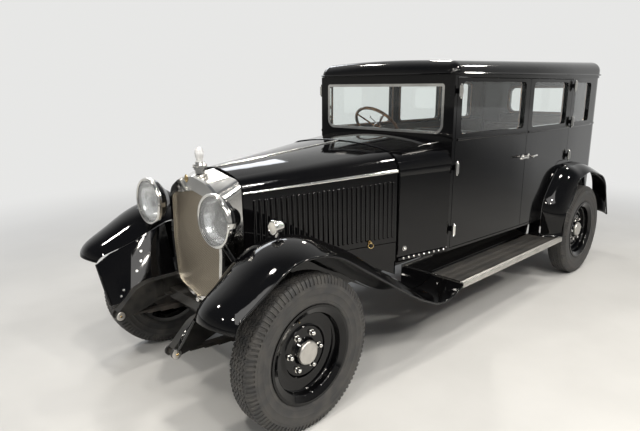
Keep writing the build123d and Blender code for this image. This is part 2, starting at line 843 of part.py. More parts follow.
def side_section(x, trim):
    """The side panel cut across, from the trim line down."""
    y, z = trim
    plane = Plane(origin=(x, 0, 0), x_dir=(0, 1, 0), z_dir=(1, 0, 0))
    return plane * outline(((y - SHEET, z - 6), (y, z - 6), (y + 6, HOOD_LOW), (y + 6 - SHEET, HOOD_LOW)))


def louvre(x):
    """One upright rib with rounded ends, sunk into the panel."""
    out = along_hood(TRIM_FRONT[0], TRIM_REAR[0], x) + 3 + LOUVRE_PROUD - LOUVRE_RADIUS
    low = along_hood(*LOUVRE_LOW, x)
    top = along_hood(*LOUVRE_TOP, x)
    rib = rod((x, out, low), (x, out, top), LOUVRE_RADIUS)
    return [rib, Pos(x, out, low) * Sphere(LOUVRE_RADIUS), Pos(x, out, top) * Sphere(LOUVRE_RADIUS)]


def hood_side():
    """The left side panel with its louvres and the bead that its hinge turns in."""
    panel = loft([side_section(HOOD_FRONT, TRIM_FRONT), side_section(HOOD_REAR, TRIM_REAR)], ruled=True)
    ribs = []
    for i in range(LOUVRE_COUNT):
        ribs += louvre(LOUVRE_FIRST + (LOUVRE_LAST - LOUVRE_FIRST) * i / (LOUVRE_COUNT - 1))
    inside = Plane(origin=(HOOD_FRONT, TRIM_FRONT[0] - SHEET + 1, 0), x_dir=(0, 0, 1), z_dir=hood_outward())
    ribs = Part() + ribs
    ribs -= inside * Pos(0, 0, -50) * Box(3000, 3000, 100)
    bead = rod((HOOD_FRONT, TRIM_FRONT[0], TRIM_FRONT[1]), (HOOD_REAR, TRIM_REAR[0], TRIM_REAR[1]), BEAD_RADIUS)
    return panel + ribs + bead


def hood_outward():
    """Level direction square to the hood's left side."""
    return Vector(TRIM_REAR[0] - TRIM_FRONT[0], HOOD_FRONT - HOOD_REAR, 0).normalized()


def hood_hinge():
    """The long centre hinge, plated, from the radiator to the cowl."""
    return rod((HOOD_FRONT, 0, HINGE_FRONT_Z + 1), (HOOD_REAR, 0, HINGE_REAR_Z + 1), 6)


# Body

def body_plan(inset, corner=250):
    """The body seen from above, closed, drawn inside its outer skin by the inset."""
    return (
        (BODY_FRONT - inset, 652 - inset),
        (-2550, 705 - inset, 8000),
        (-3450, 705 - inset, 8000),
        (BODY_REAR + inset, 664 - inset, corner - inset),
        (BODY_REAR + inset, -664 + inset, corner - inset),
        (-3450, -705 + inset, 8000),
        (-2550, -705 + inset, 8000),
        (BODY_FRONT - inset, -652 + inset),
    )


def body_layer(inset_out, inset_in, low, high):
    """A closed wall between two insets of the body's plan."""
    return plan_plate(body_plan(inset_out), low, high) - plan_plate(body_plan(inset_in), low - 1, high + 1)


# Side windows: front X, rear X, low Z, top Z
SIDE_WINDOWS = {
    "front_door": (-1606, -2482, WINDOW_LOW, WINDOW_TOP),
    "rear_door": (-2618, -3300, WINDOW_LOW, WINDOW_TOP),
    "quarter": (-3478, -3900, WINDOW_LOW, WINDOW_TOP),
}
WINDOW_CORNER = 34


def window_prism(name, y_low, y_high):
    front, rear, low, top = SIDE_WINDOWS[name]
    corner = WINDOW_CORNER
    return side_plate(
        ((front, low, corner), (front, top, corner), (rear, top, corner), (rear, low, corner)), y_low, y_high
    )


# Doors seen from the side: X, Z, corner radius
DOOR_OUTLINES = {
    "front_door": (
        (DOOR_FRONT, DOOR_LOW), (DOOR_FRONT, DOOR_TOP, 12),
        (DOOR_MIDDLE + GAP / 2, DOOR_TOP, 12), (DOOR_MIDDLE + GAP / 2, DOOR_LOW),
    ),
    "rear_door": (
        (DOOR_MIDDLE - GAP / 2, DOOR_LOW), (DOOR_MIDDLE - GAP / 2, DOOR_TOP, 12),
        (DOOR_BACK, DOOR_TOP, 12), (DOOR_BACK, 1150), (-3200, 1150, 120), (-2905, 815, 150),
        (-2905, DOOR_LOW),
    ),
}

# The hole in the body for both doors of one side
DOORWAY = (
    (DOOR_FRONT + GAP, DOOR_LOW - GAP), (DOOR_FRONT + GAP, DOOR_TOP + GAP, 12),
    (DOOR_BACK - GAP, DOOR_TOP + GAP, 12), (DOOR_BACK - GAP, 1150 - GAP), (-3202, 1150 - GAP, 120),
    (-2905 - GAP, 815, 150), (-2905 - GAP, DOOR_LOW - GAP),
)


ARCH_RADIUS = 520
WHEELHOUSE_IN = 626


def wheelhouse():
    """The sheet that closes the rear wheel's arch off from the cabin."""
    wall = rod((-WHEELBASE, WHEELHOUSE_IN, AXLE_Z), (-WHEELBASE, 672, AXLE_Z), ARCH_RADIUS + SHEET)
    wall -= rod((-WHEELBASE, WHEELHOUSE_IN + SHEET, AXLE_Z), (-WHEELBASE, 700, AXLE_Z), ARCH_RADIUS - 0.5)
    return wall & block((-WHEELBASE - 600, -WHEELBASE + 600), (600, 700), (BODY_LOW, 1200))


def belt_moulding():
    """The thin raised line round the body below the windows."""
    line = body_layer(-BELT_PROUD, WALL / 2, BELT_Z - BELT_HALF, BELT_Z + BELT_HALF)
    return line & block((BODY_REAR - 20, BODY_FRONT), (-760, 760), (BODY_LOW, ROOF_BASE))


def body_shell():
    """Walls from the windscreen to the tail, hollow, with doorways and windows cut."""
    shell = body_layer(0, WALL, BODY_LOW, ROOF_BASE)
    doorway = side_plate(DOORWAY, 560, 760)
    quarter = window_prism("quarter", 560, 760)
    shell = shell - doorway - mirrored(doorway) - quarter - mirrored(quarter)
    screen = cross_plate(
        ((-572, 1486, 70), (-572, 1838, 20), (572, 1838, 20), (572, 1486, 70)),
        BODY_FRONT - WALL - 1, BODY_FRONT + 1,
    )
    foot_way = block((BODY_FRONT - WALL - 1, BODY_FRONT + 1), (-600, 600), (BODY_LOW - 1, 1400))
    rear_window = cross_plate(
        ((-330, 1545, 60), (-330, 1800, 60), (330, 1800, 60), (330, 1545, 60)),
        BODY_REAR - 1, BODY_REAR + WALL + 1,
    )
    shell = shell + belt_moulding() - doorway - mirrored(doorway)
    arch = rod((-WHEELBASE, 560, AXLE_Z), (-WHEELBASE, 760, AXLE_Z), ARCH_RADIUS)
    shell = shell - screen - foot_way - rear_window - arch - mirrored(arch)
    house = wheelhouse()
    return shell + house + mirrored(house)


def door(name):
    """A left door, cut from the body's wall, with its window open."""
    wall = body_layer(0, WALL, BODY_LOW, ROOF_BASE) + belt_moulding()
    return (wall & side_plate(DOOR_OUTLINES[name], DOOR_IN, 760)) - window_prism(name, 560, 760)


def side_glass(name):
    return body_layer(18, 24, BODY_LOW, ROOF_BASE) & window_prism(name, 560, 760)


def door_hinges(axis, heights, way):
    """Hinge barrels with the leaf that holds each to the door."""
    x, y = axis
    hinges = None
    for z in heights:
        one = rod((x, y, z - 28), (x, y, z + 28), 9)
        one += block((x, x + 22 * way), (y - 16, y), (z - 18, z + 18))
        one += block((x + 9 * way, x + 50 * way), (y - 40, y - 12), (z - 18, z + 18))
        hinges = one if hinges is None else hinges + one
    return hinges


ROOF_LEAN = 1.3
ROOF_CROWN = 2040
ROOF_SIDE = 2000
ROOF_MIDDLE = -2900
ROOF_CEILING = 1965
ROOF_OVERHANG = 10
ROOF_EDGE_RADIUS = 90


def roof_bar():
    """The crowned cross section carried along the body, leaning down a little to the front."""
    plane = Plane(origin=(ROOF_MIDDLE, 0, 0), x_dir=(0, 1, 0), z_dir=(1, 0, 0))
    section = plane * make_face(
        [
            Line((-900, 1500), (900, 1500)),
            Line((900, 1500), (900, ROOF_SIDE)),
            ThreePointArc((900, ROOF_SIDE), (0, ROOF_CROWN), (-900, ROOF_SIDE)),
            Line((-900, ROOF_SIDE), (-900, 1500)),
        ]
    )
    bar = extrude(section, amount=1600, both=True)
    return Pos(ROOF_MIDDLE, 0, 0) * Rot(0, ROOF_LEAN, 0) * Pos(-ROOF_MIDDLE, 0, 0) * bar


def roof():
    """The roof, crowned, with well rounded edges, hollow below."""
    front = BODY_FRONT + ROOF_OVERHANG
    rear = BODY_REAR - ROOF_OVERHANG
    plan = (
        (front, 662, 60), (-3000, 718, 12000), (rear, 674, 250),
        (rear, -674, 250), (-3000, -718, 12000), (front, -662, 60),
    )
    body = plan_plate(plan, ROOF_BASE + 0.2, 2200) & roof_bar()
    top = body.faces().sort_by(Axis.Z)[-1]
    crowned = fillet(top.edges(), ROOF_EDGE_RADIUS)
    return crowned - plan_plate(body_plan(WALL, 250), ROOF_BASE - 1, ROOF_CEILING)


def cowl_face(x, half, corner_y, corner_z, top_z, inset):
    """Cross section of the cowl, flat at the foot and arched on top."""
    half -= inset
    corner_y -= inset * 0.7
    corner_z -= inset * 0.7
    top_z -= inset
    low = BODY_LOW
    side_z = 1240
    middle_y = corner_y * 0.52
    middle_z = corner_z + (top_z - corner_z) * 0.74
    plane = Plane(origin=(x, 0, 0), x_dir=(0, 1, 0), z_dir=(1, 0, 0))
    edges = [
        Line((-half, low), (half, low)),
        Line((half, low), (half, side_z)),
        ThreePointArc((half, side_z), (half - (half - corner_y) * 0.2, side_z + (corner_z - side_z) * 0.68),
                      (corner_y, corner_z)),
        ThreePointArc((corner_y, corner_z), (0, top_z), (-corner_y, corner_z)),
        ThreePointArc((-corner_y, corner_z), (-half + (half - corner_y) * 0.2,
                      side_z + (corner_z - side_z) * 0.68), (-half, side_z)),
        Line((-half, side_z), (-half, low)),
    ]
    return plane * make_face(edges)


def cowl():
    """The scuttle between the hood and the windscreen."""
    outer = loft(
        [cowl_face(COWL_FRONT, 560, 440, 1402, 1442, 0), cowl_face(BODY_FRONT + 0.2, 652, 500, 1440, 1470, 0)],
        ruled=True,
    )
    inner = loft(
        [
            cowl_face(COWL_FRONT - 4, 560, 440, 1402, 1442, 18),
            cowl_face(BODY_FRONT - 0.2, 652, 500, 1440, 1470, 18),
        ],
        ruled=True,
    )
    inner = inner + block((COWL_FRONT - 4, BODY_FRONT - 1), (-535, 535), (BODY_LOW - 10, 700))
    return outer - inner - rod(column_point(44), column_point(1300), 24.3)


def body_floor():
    """The stepped floor, raised over the rear axle."""
    room = plan_plate(body_plan(WALL + 0.3), 600, 800)
    floor = block((-1560, -3118), (-700, 700), (BODY_LOW + 0.5, 660))
    floor += block((-3100, -3118), (-622, 622), (650, 748))
    floor += block((-3100, -4260), (-622, 622), (730, 748))
    return (floor & room) + block((-1046, -1561), (-534, 534), (BODY_LOW + 0.5, 660))


def windscreen_frame():
    """The plated frame round the windscreen glass."""
    ring = cross_plate(
        ((-571.8, 1486.2, 70), (-571.8, 1837.8, 20), (571.8, 1837.8, 20), (571.8, 1486.2, 70)), -1530, -1508
    )
    return ring - cross_plate(((-552, 1506, 52), (-552, 1818, 8), (552, 1818, 8), (552, 1506, 52)), -1540, -1500)


def windscreen_glass():
    return cross_plate(
        ((-551.8, 1506.2, 52), (-551.8, 1817.8, 8), (551.8, 1817.8, 8), (551.8, 1506.2, 52)), -1522, -1516
    )


def rear_glass():
    return cross_plate(
        ((-329.8, 1545.2, 60), (-329.8, 1799.8, 60), (329.8, 1799.8, 60), (329.8, 1545.2, 60)), -4276, -4270
    )


def dashboard():
    board = cross_plate(
        ((-600, 1180), (-600, 1380, 40), (-440, 1412, 60), (440, 1412, 60), (600, 1380, 40), (600, 1180)),
        -1600, -1575,
    )
    return board - rod(column_point(44), column_point(900), 24.3)


def seat(x_front, x_back, floor_z, half_width):
    """A bench: cushion and leaning backrest, plain."""
    top = 960
    return side_plate(
        (
            (x_front, floor_z), (x_front, top - 30, 50), (x_front - 60, top, 60), (x_back + 130, top - 20, 20),
            (x_back + 60, 1440, 60), (x_back - 60, 1440, 60), (x_back, floor_z),
        ),
        -half_width, half_width,
    )


def spare_wheel_piece(piece):
    """The spare's tyre or disc, standing upright against the tail."""
    placed = piece(0, 0, 0, 1)
    return Pos(-4425, 0, 860) * Rot(0, 0, 90) * placed


def spare_carrier():
    return rod((-4292, 0, 860), (-4394, 0, 860), 60) + block((-4290.5, -4310), (-200, 200), (760, 960))


def tail_lamp():
    lamp = rod((-4340, 520, 740), (-4380, 520, 740), 34)
    return lamp + rod((-4276, 520, 740), (-4342, 520, 740), 10)


# Write every node
save("chassis_frame", chassis_frame())
save("front_axle", front_axle())
save("leaf_springs", front_springs() + rear_springs())
save("rear_axle", rear_axle())
save("engine_block", engine_block())
save("propeller_shaft", propeller_shaft())
save("exhaust", exhaust())
save("fuel_tank", fuel_tank())
save("radiator_shell", radiator_shell())
save("radiator_core", radiator_core())
save("radiator_grille", radiator_grille())
save("radiator_cap", radiator_cap())
save("headlamps", headlamp() + mirrored(headlamp()))
save("headlamp_lenses", headlamp_lens(1) + headlamp_lens(-1))
save("side_lamps", side_lamp(1) + side_lamp(-1))
save("front_fender_left", front_fender())
save("front_fender_right", mirrored(front_fender()))
save("rear_fender_left", rear_fender())
save("rear_fender_right", mirrored(rear_fender()))
save("running_boards", running_board() + mirrored(running_board()))
save("splash_aprons", splash_apron() + mirrored(splash_apron()))
inner_sheets = engine_apron() + fender_skirt()
save("engine_aprons", inner_sheets + mirrored(inner_sheets))
save("cowl", cowl())
save("hood_hinge", hood_hinge())
save("body_shell", body_shell())
save("roof", roof())
save("body_floor", body_floor())
save("windscreen_frame", windscreen_frame())
quarter_glass = side_glass("quarter")
save("fixed_glass", windscreen_glass() + rear_glass() + quarter_glass + mirrored(quarter_glass))
save("dashboard", dashboard())
save("steering_column", steering_column())
save("steering_wheel", steering_wheel())
save("front_seat", seat(-2130, -2700, 661, 560))
save("rear_seat", seat(-3480, -4080, 749, 560))
save("spare_tyre", spare_wheel_piece(tyre))
save("spare_wheel", spare_wheel_piece(wheel))
save("spare_carrier", spare_carrier() + tail_lamp())

for side_name, outward in (("left", 1), ("right", -1)):
    y = TRACK_HALF * outward
    save("front_tyre_" + side_name, tyre(0, y, AXLE_Z, outward))
    save("rear_tyre_" + side_name, tyre(-WHEELBASE, y, AXLE_Z, outward))
    for place, x in (("front", 0), ("rear", -WHEELBASE)):
        disc = wheel(x, y, AXLE_Z, outward)
        disc += brake_drum(x, y, AXLE_Z, outward)
        disc += hub_cap(x, y, AXLE_Z, outward)
        save(place + "_wheel_" + side_name, disc)
    save("knuckle_" + side_name, knuckle(outward))
save("tie_rod", tie_rod())

for name, axis, heights, way in (
    ("front_door", FRONT_HINGE, (1787, 1254, 805), -1),
    ("rear_door", REAR_HINGE, (1820, 1500, 1190), 1),
):
    left_door = door(name) + door_hinges(axis, heights, way)
    left_glass = side_glass(name)
    save(name + "_left", left_door)
    save(name + "_right", mirrored(left_door))
    save(name + "_glass_left", left_glass)
    save(name + "_glass_right", mirrored(left_glass))

save("hood_top_left", hood_top())
save("hood_top_right", mirrored(hood_top()))
save("hood_side_left", hood_side())
save("hood_side_right", mirrored(hood_side()))
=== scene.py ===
import json
from math import ceil, cos, exp, pi, radians, sin, tan

import bmesh
import bpy
from mathutils import Matrix, Vector


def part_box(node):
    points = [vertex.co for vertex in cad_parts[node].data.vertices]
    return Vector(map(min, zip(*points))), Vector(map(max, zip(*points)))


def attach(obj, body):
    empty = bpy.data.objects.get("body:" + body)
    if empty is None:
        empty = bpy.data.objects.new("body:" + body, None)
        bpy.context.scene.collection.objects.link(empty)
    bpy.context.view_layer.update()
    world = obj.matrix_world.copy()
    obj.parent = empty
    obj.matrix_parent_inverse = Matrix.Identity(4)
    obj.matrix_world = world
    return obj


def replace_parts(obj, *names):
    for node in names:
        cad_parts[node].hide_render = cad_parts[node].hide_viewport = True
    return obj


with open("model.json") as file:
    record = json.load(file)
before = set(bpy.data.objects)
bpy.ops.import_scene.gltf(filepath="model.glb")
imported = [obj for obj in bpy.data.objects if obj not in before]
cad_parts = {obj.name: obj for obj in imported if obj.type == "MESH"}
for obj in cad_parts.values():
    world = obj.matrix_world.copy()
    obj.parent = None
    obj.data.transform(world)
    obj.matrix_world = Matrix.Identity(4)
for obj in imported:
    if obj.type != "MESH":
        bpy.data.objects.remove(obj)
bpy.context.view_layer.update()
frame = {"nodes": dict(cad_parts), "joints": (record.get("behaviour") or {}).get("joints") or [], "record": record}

SCENE = bpy.context.scene

# A closed saloon of the late 1920s, in metres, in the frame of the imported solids. Tables in mm() are in
# millimetres. Places are given about the front axle, as in the drawings, and moved by FORWARD.
JOINTS = {joint["name"]: joint for joint in frame["joints"]}
FORWARD = JOINTS["kingpin_left"]["pos_m"][0]

# The photo's camera: place about the front axle, heading, tilt and roll in degrees, focal length in pixels
CAMERA_AT = (1.7744, 2.7116, 1.8122)
CAMERA_YAW, CAMERA_PITCH, CAMERA_ROLL = -134.1, -13.4, -0.2
FOCAL_PIXELS = 536.4
PHOTO_WIDTH = 640
SENSOR = 36.0


def mm(*rows):
    """Rows of lengths that are written in millimetres."""
    return [tuple(length / 1000 for length in row) for row in rows]


def place(x, y, z):
    """A point given about the front axle, in the object's frame."""
    return Vector((x + FORWARD, y, z))


# Materials

class Shade:
    """The nodes of a material or of the world, and the shader that they feed."""

    def __init__(self, tree, shader):
        self.nodes = tree.nodes
        self.links = tree.links
        self.shader = tree.nodes[shader]

    def put(self, node, values):
        """Set a node's inputs, or link those whose value is another node's output."""
        for name, value in values.items():
            if isinstance(value, bpy.types.NodeSocket):
                self.links.new(value, node.inputs[name])
            else:
                node.inputs[name].default_value = value

    def add(self, kind, output, values, **settings):
        """One output of a new node."""
        node = self.nodes.new("ShaderNode" + kind)
        for name, value in settings.items():
            setattr(node, name, value)
        self.put(node, values)
        return node.outputs[output]

    def where(self, source="Object"):
        return self.add("TexCoord", source, {})

    def noise(self, scale, detail=4.0, at=None):
        return self.add("TexNoise", "Fac", {"Vector": at or self.where(), "Scale": scale, "Detail": detail})

    def wave(self, scale, direction, at=None):
        values = {"Vector": at or self.where(), "Scale": scale}
        return self.add("TexWave", "Fac", values, bands_direction=direction)

    def pattern(self, source):
        """A pattern from a function, from a noise scale, or from a noise scale and detail."""
        if callable(source):
            return source(self)
        return self.noise(*source) if isinstance(source, tuple) else self.noise(source)

    def between(self, value, low, high, start=0.3, end=0.7, curve="LINEAR"):
        """A number that runs from low to high as value runs from start to end."""
        limits = {"From Min": start, "From Max": end, "To Min": low, "To Max": high}
        return self.add("MapRange", "Result", {"Value": value, **limits}, interpolation_type=curve)

    def colours(self, value, first, second, start=0.35, end=0.65):
        """A colour that runs from the first to the second as value runs from start to end."""
        node = self.nodes.new("ShaderNodeValToRGB")
        for stop, position, colour in zip(node.color_ramp.elements, (start, end), (first, second)):
            stop.position = position
            stop.color = (*colour, 1)
        self.put(node, {"Fac": value})
        return node.outputs["Color"]

    def combine(self, operation, first, second):
        return self.add("Math", "Value", {0: first, 1: second}, operation=operation)

    def mix(self, share, first, second, output):
        """Send a mix of two shaders to the output."""
        mixed = self.add("MixShader", "Shader", {"Fac": share, 1: first, 2: second})
        self.put(self.nodes[output], {"Surface": mixed})


def woven_wire(shade):
    """Two sets of fine wires that cross."""
    sets = []
    for angle in (45, -45):
        turned = shade.add("Mapping", "Vector", {"Vector": shade.where(), "Rotation": (radians(angle), 0, 0)})
        sets.append(shade.wave(32.0, "Y", turned))
    return shade.combine("MAXIMUM", *sets)


def ribs(shade):
    return shade.wave(28.0, "Y")


def grain(shade):
    """Noise drawn out along the wood."""
    stretched = shade.add("Mapping", "Vector", {"Vector": shade.where(), "Scale": (30, 2.5, 30)})
    return shade.noise(3.0, 8.0, stretched)


def weave(shade):
    return shade.combine("MULTIPLY", shade.wave(160.0, "X"), shade.wave(160.0, "Z"))


METAL = {"Metallic": 1.0}
WIPED = ((90.0, 2.0), 0.05, 0.0006)

# Colour (pattern, two colours), roughness (fixed, or pattern and limits), relief (pattern, strength, distance)
# and other inputs of the shader
FINISHES = {
    "black_enamel": ((3, (0.0014, 0.0014, 0.0018), (0.0026, 0.0025, 0.0026)), (3, 0.035, 0.085),
                     ((6, 2), 0.05, 0.004), {"Specular IOR Level": 0.36}),
    "chassis_black": ((14, (0.01, 0.01, 0.01), (0.028, 0.026, 0.023)), (14, 0.28, 0.5), (120, 0.12, 0.001), {}),
    "nickel": ((7, (0.72, 0.71, 0.68), (0.82, 0.81, 0.78)), (40, 0.09, 0.2), ((25, 2), 0.03, 0.001), METAL),
    "dark_iron": ((18, (0.022, 0.021, 0.02), (0.055, 0.047, 0.04)), (18, 0.45, 0.7), (200, 0.2, 0.001),
                  {"Metallic": 0.4}),
    "grille_mesh": ((woven_wire, (0.1, 0.088, 0.07), (0.5, 0.44, 0.35)), 0.36, (woven_wire, 0.6, 0.002),
                    {"Metallic": 0.85}),
    "ribbed_mat": ((9, (0.018, 0.017, 0.016), (0.036, 0.033, 0.029)), (9, 0.5, 0.7), (ribs, 0.5, 0.002), {}),
    "wood": ((grain, (0.13, 0.055, 0.02), (0.3, 0.15, 0.06)), 0.3, (grain, 0.1, 0.0005), {"Coat Weight": 0.5}),
    "upholstery": ((6, (0.075, 0.062, 0.048), (0.115, 0.097, 0.075)), 0.95, (weave, 0.35, 0.001),
                   {"Sheen Weight": 0.4}),
    "headlining": ((4, (0.15, 0.128, 0.1), (0.2, 0.172, 0.135)), 0.95, (400, 0.2, 0.0006), {}),
    "tyre": ((16, (0.03, 0.03, 0.031), (0.06, 0.057, 0.053)), (16, 0.5, 0.72), (300, 0.15, 0.0006), {}),
    "glass": ((5, (0.93, 0.96, 0.95), (0.93, 0.96, 0.95)), (5, 0, 0.02), None,
              {"Transmission Weight": 1, "IOR": 1.45}),
    "lamp_glass": ((12, (0.93, 0.95, 0.95), (0.97, 0.98, 0.98)), 0.06, None,
                   {"Transmission Weight": 0.88, "IOR": 1.48}),
    "clear_glass": ((20, (0.86, 0.87, 0.88), (0.92, 0.92, 0.93)), 0.12, None, {"Transmission Weight": 0.55}),
    "opal": ((20, (0.8, 0.78, 0.72), (0.88, 0.86, 0.8)), 0.18, None, {"Transmission Weight": 0.25}),
    "red_glass": ((20, (0.45, 0.01, 0.01), (0.6, 0.02, 0.02)), 0.08, None, {"Transmission Weight": 0.3}),
    "mirror": ((9, (0.86, 0.86, 0.87), (0.92, 0.92, 0.93)), (60, 0.12, 0.2), WIPED, METAL),
    "brass": ((9, (0.6, 0.44, 0.2), (0.72, 0.54, 0.27)), (60, 0.15, 0.3), WIPED, METAL),
    "aluminium": ((9, (0.56, 0.54, 0.51), (0.68, 0.66, 0.62)), (60, 0.3, 0.48), WIPED, METAL),
}
FLOOR_FINISH = ((1.5, (0.58, 0.58, 0.57), (0.62, 0.62, 0.61)), 0.7, None, {})


def new_material(name, colours, roughness, relief, others):
    """A material of one row of the table."""
    material = bpy.data.materials.new(name)
    material.use_nodes = True
    shade = Shade(material.node_tree, "Principled BSDF")
    source, first, second = colours
    values = {"Base Color": shade.colours(shade.pattern(source), first, second), "Roughness": roughness, **others}
    if isinstance(roughness, tuple):
        source, low, high = roughness
        values["Roughness"] = shade.between(shade.pattern(source), low, high)
    if relief:
        source, strength, distance = relief
        heights = {"Height": shade.pattern(source), "Strength": strength, "Distance": distance}
        values["Normal"] = shade.add("Bump", "Normal", heights)
    shade.put(shade.shader, values)
    return material


MATERIALS = {name: new_material(name, *row) for name, row in FINISHES.items()}
CHASSIS_PAINTED = ("chassis_frame", "front_axle", "rear_axle", "fuel_tank", "spare_carrier")


def dress_nodes():
    """Give every solid of the frame its finish."""
    slots = {part["node"]: part["material_slot"] for part in frame["record"]["subparts"]}
    for name, node in frame["nodes"].items():
        finish = "chassis_black" if name in CHASSIS_PAINTED else slots[name]
        node.data.materials.clear()
        node.data.materials.append(MATERIALS[finish])


# Stage, light and camera

BACKDROP = (0.80, 0.80, 0.79, 1)
BACKDROP_SIDE = (-0.695, -0.719, 0.0)
# Distances from the object between which the floor runs into the backdrop
FADE = (2.4, 7.5)
# Place and power of each small ceiling lamp
CEILING_LAMPS = (
    (4.6, 2.6, 4.4, 60), (2.6, 1.2, 4.4, 45), (1.2, 4.2, 4.6, 70), (3.4, 5.4, 5.0, 80), (-0.8, 2.4, 4.4, 45),
    (-2.2, 5.2, 4.8, 70), (-3.6, 1.6, 4.4, 40), (4.2, -1.4, 4.4, 55), (0.4, -2.2, 4.4, 35), (-2.4, -1.8, 4.4, 35),
    (6.2, 1.0, 4.2, 40),
)


def seen_rays(shade, direction, low, high):
    """One for what the camera sees straight or through glass, and, on the backdrop's side, in a reflection."""
    away = shade.add("VectorMath", "Value", {0: direction, 1: BACKDROP_SIDE}, operation="DOT_PRODUCT")
    behind = shade.between(away, 0.0, 1.0, low, high, "SMOOTHSTEP")
    camera, through, glossy = (shade.add("LightPath", "Is %s Ray" % kind, {})
                               for kind in ("Camera", "Transmission", "Glossy"))
    straight = shade.combine("MAXIMUM", camera, through)
    return shade.combine("MAXIMUM", straight, shade.combine("MULTIPLY", glossy, behind))


def make_floor():
    """A plain pale floor, wide enough to fill the view, that runs into the backdrop far from the object."""
    bpy.ops.mesh.primitive_plane_add(size=80, location=(0, 0, -0.0005))
    floor = bpy.context.object
    floor.name = "floor"
    material = new_material("floor_pale", *FLOOR_FINISH)
    shade = Shade(material.node_tree, "Principled BSDF")
    at = shade.where()
    distance = shade.add("VectorMath", "Value", {0: at}, operation="LENGTH")
    share = shade.between(distance, 0.0, 1.0, *FADE, "SMOOTHSTEP")
    seen = shade.combine("MULTIPLY", seen_rays(shade, at, 0.0, 4.0), share)
    far = shade.add("Emission", "Emission", {"Color": BACKDROP})
    shade.mix(seen, shade.shader.outputs["BSDF"], far, "Material Output")
    floor.data.materials.append(material)


def make_world():
    """A soft grey room that the camera sees as a pale backdrop."""
    world = bpy.data.worlds.new("studio")
    SCENE.world = world
    world.use_nodes = True
    shade = Shade(world.node_tree, "Background")
    direction = shade.where("Generated")
    height = shade.add("SeparateXYZ", "Z", {"Vector": direction})
    glossy = shade.add("LightPath", "Is Glossy Ray", {})
    shade.put(shade.shader, {
        "Color": shade.colours(height, (0.62, 0.61, 0.58), (0.22, 0.23, 0.25), 0.0, 0.45),
        "Strength": shade.between(glossy, 0.55, 0.66, 0.0, 1.0),
    })
    backdrop = shade.add("Background", "Background", {"Color": BACKDROP, "Strength": 1.0})
    seen = seen_rays(shade, direction, 0.0, 0.6)
    shade.mix(seen, shade.shader.outputs["Background"], backdrop, "World Output")


def area_light(name, at, aim_at, energy, colour, size, size_y=None):
    """A round panel, or a rectangular one where it has a second size."""
    light = bpy.data.lights.new(name, "AREA")
    light.shape = "RECTANGLE" if size_y else "DISK"
    light.size = size
    if size_y:
        light.size_y = size_y
    light.energy = energy
    light.color = colour
    lamp = bpy.data.objects.new(name, light)
    SCENE.collection.objects.link(lamp)
    lamp.location = at
    lamp.rotation_euler = (Vector(aim_at) - Vector(at)).to_track_quat("-Z", "Y").to_euler()


def make_lights():
    """Soft panels and a row of small round ceiling lamps, which give the paint its bright points."""
    make_world()
    area_light("key", (3.0, 5.2, 6.2), (0.2, 0, 0.8), 200, (1, 0.98, 0.95), 5.5, 3.0)
    area_light("far", (-1.0, -6.0, 5.5), (-0.4, 0, 0.8), 130, (0.92, 0.95, 1), 5.0, 1.5)
    for k, (x, y, z, energy) in enumerate(CEILING_LAMPS):
        area_light("ceiling_%d" % k, (x, y, z), (x * 0.4, y * 0.1, 0.6), energy, (1, 0.95, 0.87), 0.34)


def spun(degrees, axis):
    return Matrix.Rotation(radians(degrees), 4, axis)


def make_camera():
    data = bpy.data.cameras.new("photo_camera")
    data.sensor_width = SENSOR
    data.lens = FOCAL_PIXELS * SENSOR / PHOTO_WIDTH
    camera = bpy.data.objects.new("photo_camera", data)
    SCENE.collection.objects.link(camera)
    turn = spun(CAMERA_YAW - 90, "Z") @ spun(CAMERA_PITCH + 90, "X") @ spun(CAMERA_ROLL, "Z")
    camera.matrix_world = Matrix.Translation(place(*CAMERA_AT)) @ turn
    SCENE.camera = camera


# Helpers for the pieces

# Record slot of each finish that isn't one itself
SLOT_OF = dict.fromkeys(("lamp_glass", "clear_glass", "opal", "red_glass"), "glass")
SLOT_OF.update(dict.fromkeys(("mirror", "brass", "aluminium"), "nickel"), headlining="upholstery")
SIDES = (("left", 1), ("right", -1))


def mesh_piece(name, shapes, finish, body="chassis", crease=35):
    """One piece from several (points, faces) shapes, smooth except over sharp edges."""
    points = []
    faces = []
    for shape_points, shape_faces in shapes:
        first = len(points)
        points += [tuple(point) for point in shape_points]
        faces += [tuple(first + corner for corner in face) for face in shape_faces]
    mesh = bpy.data.meshes.new(name)
    mesh.from_pydata(points, [], faces)
    mesh.validate()
    work = bmesh.new()
    work.from_mesh(mesh)
    bmesh.ops.recalc_face_normals(work, faces=work.faces)
    work.to_mesh(mesh)
    work.free()
    mesh.polygons.foreach_set("use_smooth", [True] * len(mesh.polygons))
    mesh.set_sharp_from_angle(angle=radians(crease))
    mesh.materials.append(MATERIALS[finish])
    piece = bpy.data.objects.new(name, mesh)
    SCENE.collection.objects.link(piece)
    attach(piece, body)
    return piece


def mirrored(shapes):
    """The same shapes on the other side."""
    return [([Vector((p[0], -p[1], p[2])) for p in points], faces) for points, faces in shapes]


def both(shapes):
    """Shapes of the left side, and the same on the right."""
    return shapes + mirrored(shapes)


def side_pieces(name, shapes, finish, body="chassis", crease=35):
    """A piece from shapes on the left and one from their mirror images, each on its side's body."""
    for side, own in (("left", shapes), ("right", mirrored(shapes))):
        mesh_piece(name + "_" + side, own, finish, body if body == "chassis" else body + "_" + side, crease)


def aim(centre, direction, up=(0, 0, 1)):
    """A local frame at centre whose Z runs along direction and whose X leans towards up."""
    z = Vector(direction).normalized()
    x = Vector(up) - z * z.dot(Vector(up))
    x.normalize()
    y = z.cross(x)
    return Matrix.Translation(centre) @ Matrix((x, y, z)).transposed().to_4x4()


def shifted(at, x, y, z):
    """The local frame moved along its own axes."""
    return at @ Matrix.Translation((x, y, z))


